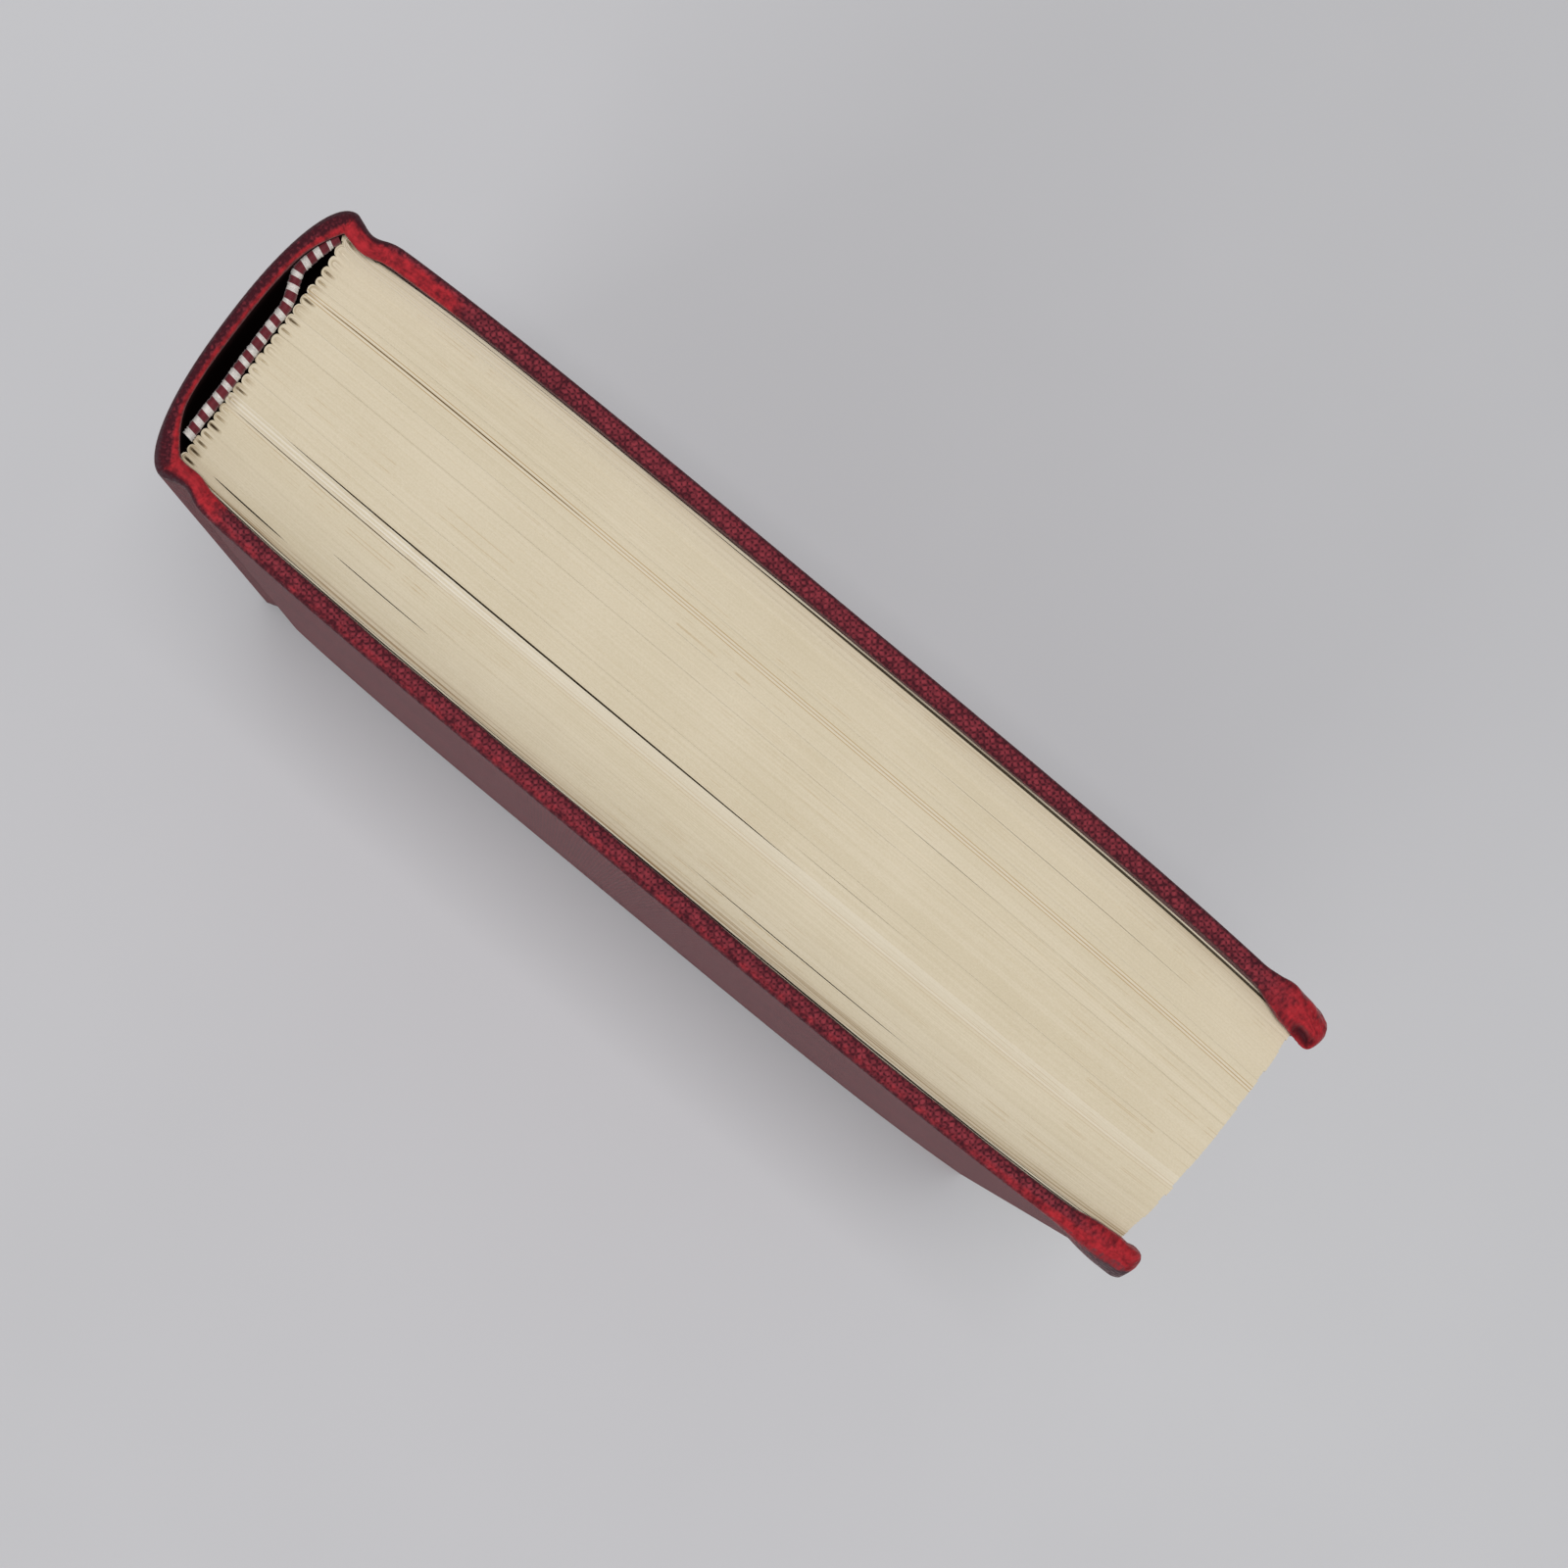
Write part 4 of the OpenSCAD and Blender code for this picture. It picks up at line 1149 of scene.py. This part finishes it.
    def ends(self, rows, count, first_outer):
        """Faces that close the two ends of the cloth, between its outer and inner faces."""
        outer = [first_outer + k for k in range(self.RISE + 1)]
        half = self.RISE // 2
        inner = [half - k if k <= half else count - 1 - (k - half - 1) for k in range(self.RISE + 1)]
        under = list(range(half + 1, first_outer))
        over = list(range(outer[-1] + 1, outer[-1] + 1 + 2 * self.ROLL + self.TOP))
        faces = []
        for base in (0, (rows - 1) * count):
            faces += [[base + outer[k], base + outer[k + 1], base + inner[k + 1], base + inner[k]]
                      for k in range(self.RISE)]
            faces.append([base + i for i in [inner[0]] + under + [outer[0]]])
            faces.append([base + i for i in [outer[-1]] + over + [inner[-1]]])
        return faces

    def wear(self, plan, side, stations, total, joint, offsets, heights, thick, line, wave):
        """How rubbed and frayed the cloth is, with painted shade on the outer side of its rolled edges and a
        painted highlight on their crests over a lighter tone of the faces, and where it lines the hollow
        back, which is painted dark as shade.
        """
        from_edge = np.minimum(plan.head - heights, heights - plan.foot)
        at_head = smooth(heights, plan.head - 30, plan.head - 10)
        on_board = smooth(line[:, 0], plan.hinge[side] - 1, plan.hinge[side] + 4)[:, None]
        inward = np.clip(-offsets / thick[:, None], 0, 1)
        edges = np.exp(-(np.maximum(from_edge, 0) / self.EDGE_WEAR) ** 2)
        inner = smooth(inward - 0.05 * wave[:, None], 0.55, 0.88)
        fore = np.exp(-(total - stations) / self.FORE_WEAR)[:, None]
        after = 4.5 if side > 0 else 0.5
        past_joint = np.maximum(np.abs(stations - joint - after) - after - 2, 0)
        near_joint = np.exp(-(past_joint / 2.5) ** 2)[:, None]
        to_corner = np.hypot((total - stations)[:, None], from_edge)
        corner = np.exp(-(to_corner / self.CORNER_WEAR) ** 2) * (0.35 + 0.65 * at_head)
        board_edge = 0.12 * edges + 0.1 * fore + 0.9 * corner
        if side < 0:
            rubbed = np.exp(-((total - stations) / self.RUBBED) ** 2)[:, None]
            board_edge += edges * (1 - smooth(inward, 0.3, 0.6)) * (0.25 + 0.55 * rubbed)
        wear = (board_edge * on_board + 0.95 * edges * inner * (1 - on_board)
                + 0.8 * near_joint * edges * smooth(inward, 0.1, 0.5))
        # Painted highlight along the crests of the rolled edges and painted shade on the outer side of the
        # spine's roll, over a lighter tone of the faces
        top = smooth(from_edge, 0.9, 0.1)
        outer = 1 - smooth(inward, 0.05, 0.4 - 0.15 * on_board)
        edge_light_and_tone = (top * np.sin(math.pi * inward) ** 0.7 * on_board
                 + (0.8 * top * inner - 0.5 * edges * (1 - smooth(inward, 0.25, 0.75))) * (1 - on_board)
                 + 0.6 * smooth(from_edge, 1.2, 5.0))
        # Frayed, greyed outer edges, also darkened as painted shade on the outer side of the roll
        fray_and_shade = outer * np.exp(-np.maximum(from_edge, 0) / self.FRAY) * (0.8 - 0.25 * on_board)
        if side > 0:
            fray_and_shade *= 1 - corner
        else:
            fray_and_shade += outer * corner * smooth(from_edge, 0.2, 1.0)
        on_spine = 1 - smooth(stations, joint - 2.5, joint - 1)
        # Where the cloth lines the hollow back; these faces are painted dark as shade
        inside = smooth(inward, 0.7, 0.85) * smooth(from_edge, 0.8, 2.0) * on_spine[:, None]
        return {"wear": np.clip(wear, 0, 1.2), "edge_light_and_tone": edge_light_and_tone, "fray_and_shade": fray_and_shade, "inside": inside}

    def crease(self, plan, side, points):
        """Where the knocked back corner has creased: along its inner side and round its end."""
        depth = plan.fore - points[..., 0]
        from_inner = points[..., 1] - (plan.out - plan.drop(points[..., 0]) - plan.cover)
        inner = np.exp(-((from_inner - 0.15) / 0.25) ** 2)
        inner *= smooth(depth, 0.6, 1.3) * (1 - smooth(depth, 2.6, 4.4))
        end = np.exp(-((depth - 0.9) / 0.3) ** 2)
        end *= smooth(from_inner, 0.15, 0.4) * (1 - smooth(from_inner, 0.5, 1.0))
        return np.maximum(inner, end) * smooth(points[..., 2], plan.head - 1.0, plan.head - 0.3) * (side > 0)

    def knock(self, plan, shape, name, side, points, crease):
        """Curl and swell the head corner at the fore-edge, as from a fall."""
        curl = getattr(shape, name + "_curl") * MM
        flat = points.reshape(-1, 3)
        reach = np.hypot(plan.fore - flat[:, 0], plan.head - flat[:, 2])
        closeness = 1 - reach / (shape.knock_reach * MM)
        amount = smooth(closeness, 0, 1)
        swollen = shape.knock_swell * smooth(closeness, 0, 0.5)
        middle = side * (plan.out - plan.drop(flat[:, 0]) - plan.cover / 2)
        away = flat[:, 1] - middle
        for along, end in ((flat[:, 0], plan.fore), (flat[:, 2], plan.head)):
            into = np.clip((along - end + self.TIP_ROUND) / self.TIP_ROUND, 0, 0.97)
            away = away * (1 - 0.75 * amount * (1 - np.sqrt(1 - into ** 2)))
        moved = flat.copy()
        page_head, page_fore = shape.page_head * MM, plan.fold + plan.width
        over_pages = np.maximum(smooth(flat[:, 2], page_head, page_head + 1.6),
                                smooth(flat[:, 0], page_fore, page_fore + 1.5))
        inner_swell, outer_swell = (2.0, 1.2) if side > 0 else (1.2, 0.3)
        swell = np.where(side * away < 0, 0.2 + inner_swell * over_pages, outer_swell)
        shift = 0.4 * swollen - curl * amount ** 3
        moved[:, 1] = middle + away * (1 + swollen * swell) + side * shift
        moved[:, 0] += 0.5 * amount ** 2
        if side < 0:
            moved[:, 0] -= 0.3 * np.maximum(side * away, 0) * amount
            # A bump below the head, on the outside of the front corner
            high, below, half_high, half_wide = 0.9, 3.0, 2.4, 9.0
            bump = (np.exp(-(np.maximum(plan.fore - flat[:, 0], 0) / half_wide) ** 2)
                    * np.exp(-((plan.head - flat[:, 2] - below) / half_high) ** 2))
            moved[:, 1] += side * high * bump * smooth(side * away, 0.2, 1.0)
        moved[:, 2] -= 0.4 * amount ** 3 + self.CREASE_DEPTH * crease.ravel()
        for axis in range(3):
            moved[:, axis] += 0.16 * amount * wobble(flat, size=3.2, seed=80 + axis + 5 * side)
        return moved.reshape(points.shape)


class BOOK_OT_pastedowns(bpy.types.Operator):
    """Paste the endpapers over the boards and their turn-ins, and across the inner joints"""

    bl_idname = "book.pastedowns"
    bl_label = "Pastedowns"

    # Steps over the joint, over the board and over the turn-in, and from tail to head
    JOINT_STEPS, BOARD_STEPS, TURN_STEPS, ROWS = 44, 40, 22, 90

    def execute(self, context):
        shape = context.scene.book_shape
        plan = Plan(shape)
        material = bpy.data.materials.get("endpaper_leaf") or endpaper_material(context.scene.book_finish)
        thick, margin, turn = shape.paper_thick * MM, shape.paste_margin * MM, shape.turn_in * MM
        for name, side in SIDES.items():
            hinge = plan.hinge[side]
            begin = hinge - shape.hinge_reach * MM
            board = hinge + shape.board_setback * MM
            board_from, turn_from = board + 1.5, plan.fore - turn - 3
            across = np.concatenate([np.linspace(begin, board_from, self.JOINT_STEPS)[:-1],
                                     np.linspace(board_from, turn_from, self.BOARD_STEPS)[:-1],
                                     np.linspace(turn_from, plan.fore - margin, self.TURN_STEPS)])
            rise = plan.foot + margin + (plan.head - plan.foot - 2 * margin) * np.linspace(0, 1, self.ROWS)
            x, z = np.meshgrid(across, rise, indexing="ij")
            inside = (smooth(np.minimum(z - plan.foot, plan.head - z), turn - 0.6, turn + 0.8)
                      * (1 - smooth(x, plan.fore - turn - 0.8, plan.fore - turn + 0.6)))
            on_board = smooth(x, begin, board + 1)
            inner = plan.out - plan.cover - 0.03 + shape.turn_step * MM * inside * smooth(x, board, board + 2)
            level = inner - plan.drop(x) - (1 - on_board) * 0.1
            grids = [np.stack([x, side * depth, z], -1) for depth in (level, level - thick)]
            from_ends = np.minimum(plan.head - margin - z, z - plan.foot - margin)
            edge = np.minimum(plan.fore - margin - x, from_ends)
            soil = 0.1 + 0.4 * np.exp(-edge / 6) + 0.12 * np.exp(-np.abs(x - board) / 3)
            flat = np.stack([x, z], -1).reshape(-1, 2)
            piece = leaf_piece(name + "_pasted_endpaper", *grids, material, flat, {"soil": soil.ravel()})
            join_at_hinge(piece, plan, shape, name, side)
            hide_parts(name + "_pastedown")
        return {"FINISHED"}


class BOOK_OT_linings(bpy.types.Operator):
    """Give spine card, gauze and lining paper their materials"""

    bl_idname = "book.linings"
    bl_label = "Linings"

    def execute(self, context):
        finish = context.scene.book_finish
        # The spine card takes the dark hollow material as painted shade
        wanted = {"spine_inlay": bpy.data.materials["hollow_back_shade"], "spine_mull": gauze_material(finish),
                  "spine_lining": lining_material(finish)}
        for node, material in wanted.items():
            materials = frame["nodes"][node].data.materials
            materials.clear()
            materials.append(material)
        return {"FINISHED"}


def soft_lamp(name, spot, size, watts):
    """A square area lamp aimed at the book."""
    lamp = bpy.data.lights.new(name, "AREA")
    lamp.shape, lamp.size, lamp.energy = "SQUARE", size, watts
    holder = bpy.data.objects.new(name, lamp)
    holder.location = spot
    holder.rotation_mode = "QUATERNION"
    aim = Vector((0, 0, 0.1))
    holder.rotation_quaternion = (aim - Vector(spot)).to_track_quat("-Z", "Y")
    bpy.context.scene.collection.objects.link(holder)


class BOOK_OT_stage(bpy.types.Operator):
    """Lay the table, hang the lamps and place the camera over the head of the book"""

    bl_idname = "book.stage"
    bl_label = "Stage"

    # In millimetres: half the table's side, and the gap below the book
    TABLE_HALF, TABLE_GAP = 3000.0, 0.05

    def execute(self, context):
        scene, stage = context.scene, context.scene.book_stage
        scene.view_settings.view_transform = "Standard"
        material, nodes, shader = shader_material("table_top", Roughness=0.7, Specular_IOR_Level=0.2)
        light = nodes.ease(nodes.noise(object_mm(nodes), 0.006, 4.0), 0.3, 0.7)
        tint = stage.table
        nodes.put(shader.inputs["Base Color"], nodes.mix(light, darker(tint, 0.95), tuple(tint)))
        ends = (-self.TABLE_HALF, self.TABLE_HALF)
        corners = [(x, y, -self.TABLE_GAP) for x in ends for y in ends]
        table = mesh_piece("table", corners, [[0, 2, 3, 1]], material)
        world = bpy.data.worlds.new("studio")
        world.use_nodes = True
        background = world.node_tree.nodes["Background"]
        background.inputs["Color"].default_value = (1.0, 1.0, 1.0, 1.0)
        background.inputs["Strength"].default_value = stage.sky
        scene.world = world
        soft_lamp("overhead_lamp", spot=(0.0, -0.05, 4.5), size=0.8, watts=stage.overhead)
        soft_lamp("window_lamp", spot=(-0.4, -2.2, 1.0), size=1.2, watts=stage.window)
        camera = bpy.data.cameras.new("camera")
        camera.lens, camera.sensor_width = stage.lens, 36.0
        camera.clip_start, camera.clip_end = 0.01, 20.0
        holder = bpy.data.objects.new("camera", camera)
        back = (Vector(stage.camera_place) - Vector(stage.camera_target)).normalized()
        right = Vector(stage.camera_up).cross(back).normalized()
        holder.matrix_world = Matrix.Translation(stage.camera_place) @ Matrix(
            (right, back.cross(right), back)).transposed().to_4x4()
        scene.collection.objects.link(holder)
        scene.camera = holder
        return {"FINISHED"}


OPERATORS = (BOOK_OT_page_block, BOOK_OT_flyleaves, BOOK_OT_bands, BOOK_OT_case_cloth, BOOK_OT_pastedowns,
             BOOK_OT_linings, BOOK_OT_stage)


class BOOK_PT_panel(bpy.types.Panel):
    """Lists the book's pieces and settings"""

    bl_label = "Cloth-bound book"
    bl_space_type = "VIEW_3D"
    bl_region_type = "UI"
    bl_category = "Book"

    def draw(self, context):
        for operator in OPERATORS:
            self.layout.operator(operator.bl_idname)
        for group in (context.scene.book_shape, context.scene.book_finish, context.scene.book_stage):
            box = self.layout.box()
            for key in group.__annotations__:
                box.prop(group, key)


SETTINGS = {"book_shape": BookShape, "book_finish": BookFinish, "book_stage": BookStage}
CLASSES = tuple(SETTINGS.values()) + OPERATORS + (BOOK_PT_panel,)


def register():
    for cls in CLASSES:
        bpy.utils.register_class(cls)
    for key, cls in SETTINGS.items():
        setattr(bpy.types.Scene, key, PointerProperty(type=cls))


def unregister():
    for key in SETTINGS:
        delattr(bpy.types.Scene, key)
    for cls in reversed(CLASSES):
        bpy.utils.unregister_class(cls)


def main():
    """Make the book on its stage."""
    register()
    for build in (build_weave_group, build_paper_group, build_soil_group):
        build()
    bpy.ops.book.page_block()
    bpy.ops.book.flyleaves()
    bpy.ops.book.bands()
    bpy.ops.book.case_cloth()
    bpy.ops.book.pastedowns()
    bpy.ops.book.linings()
    bpy.ops.book.stage()


if __name__ == "__main__":
    main()
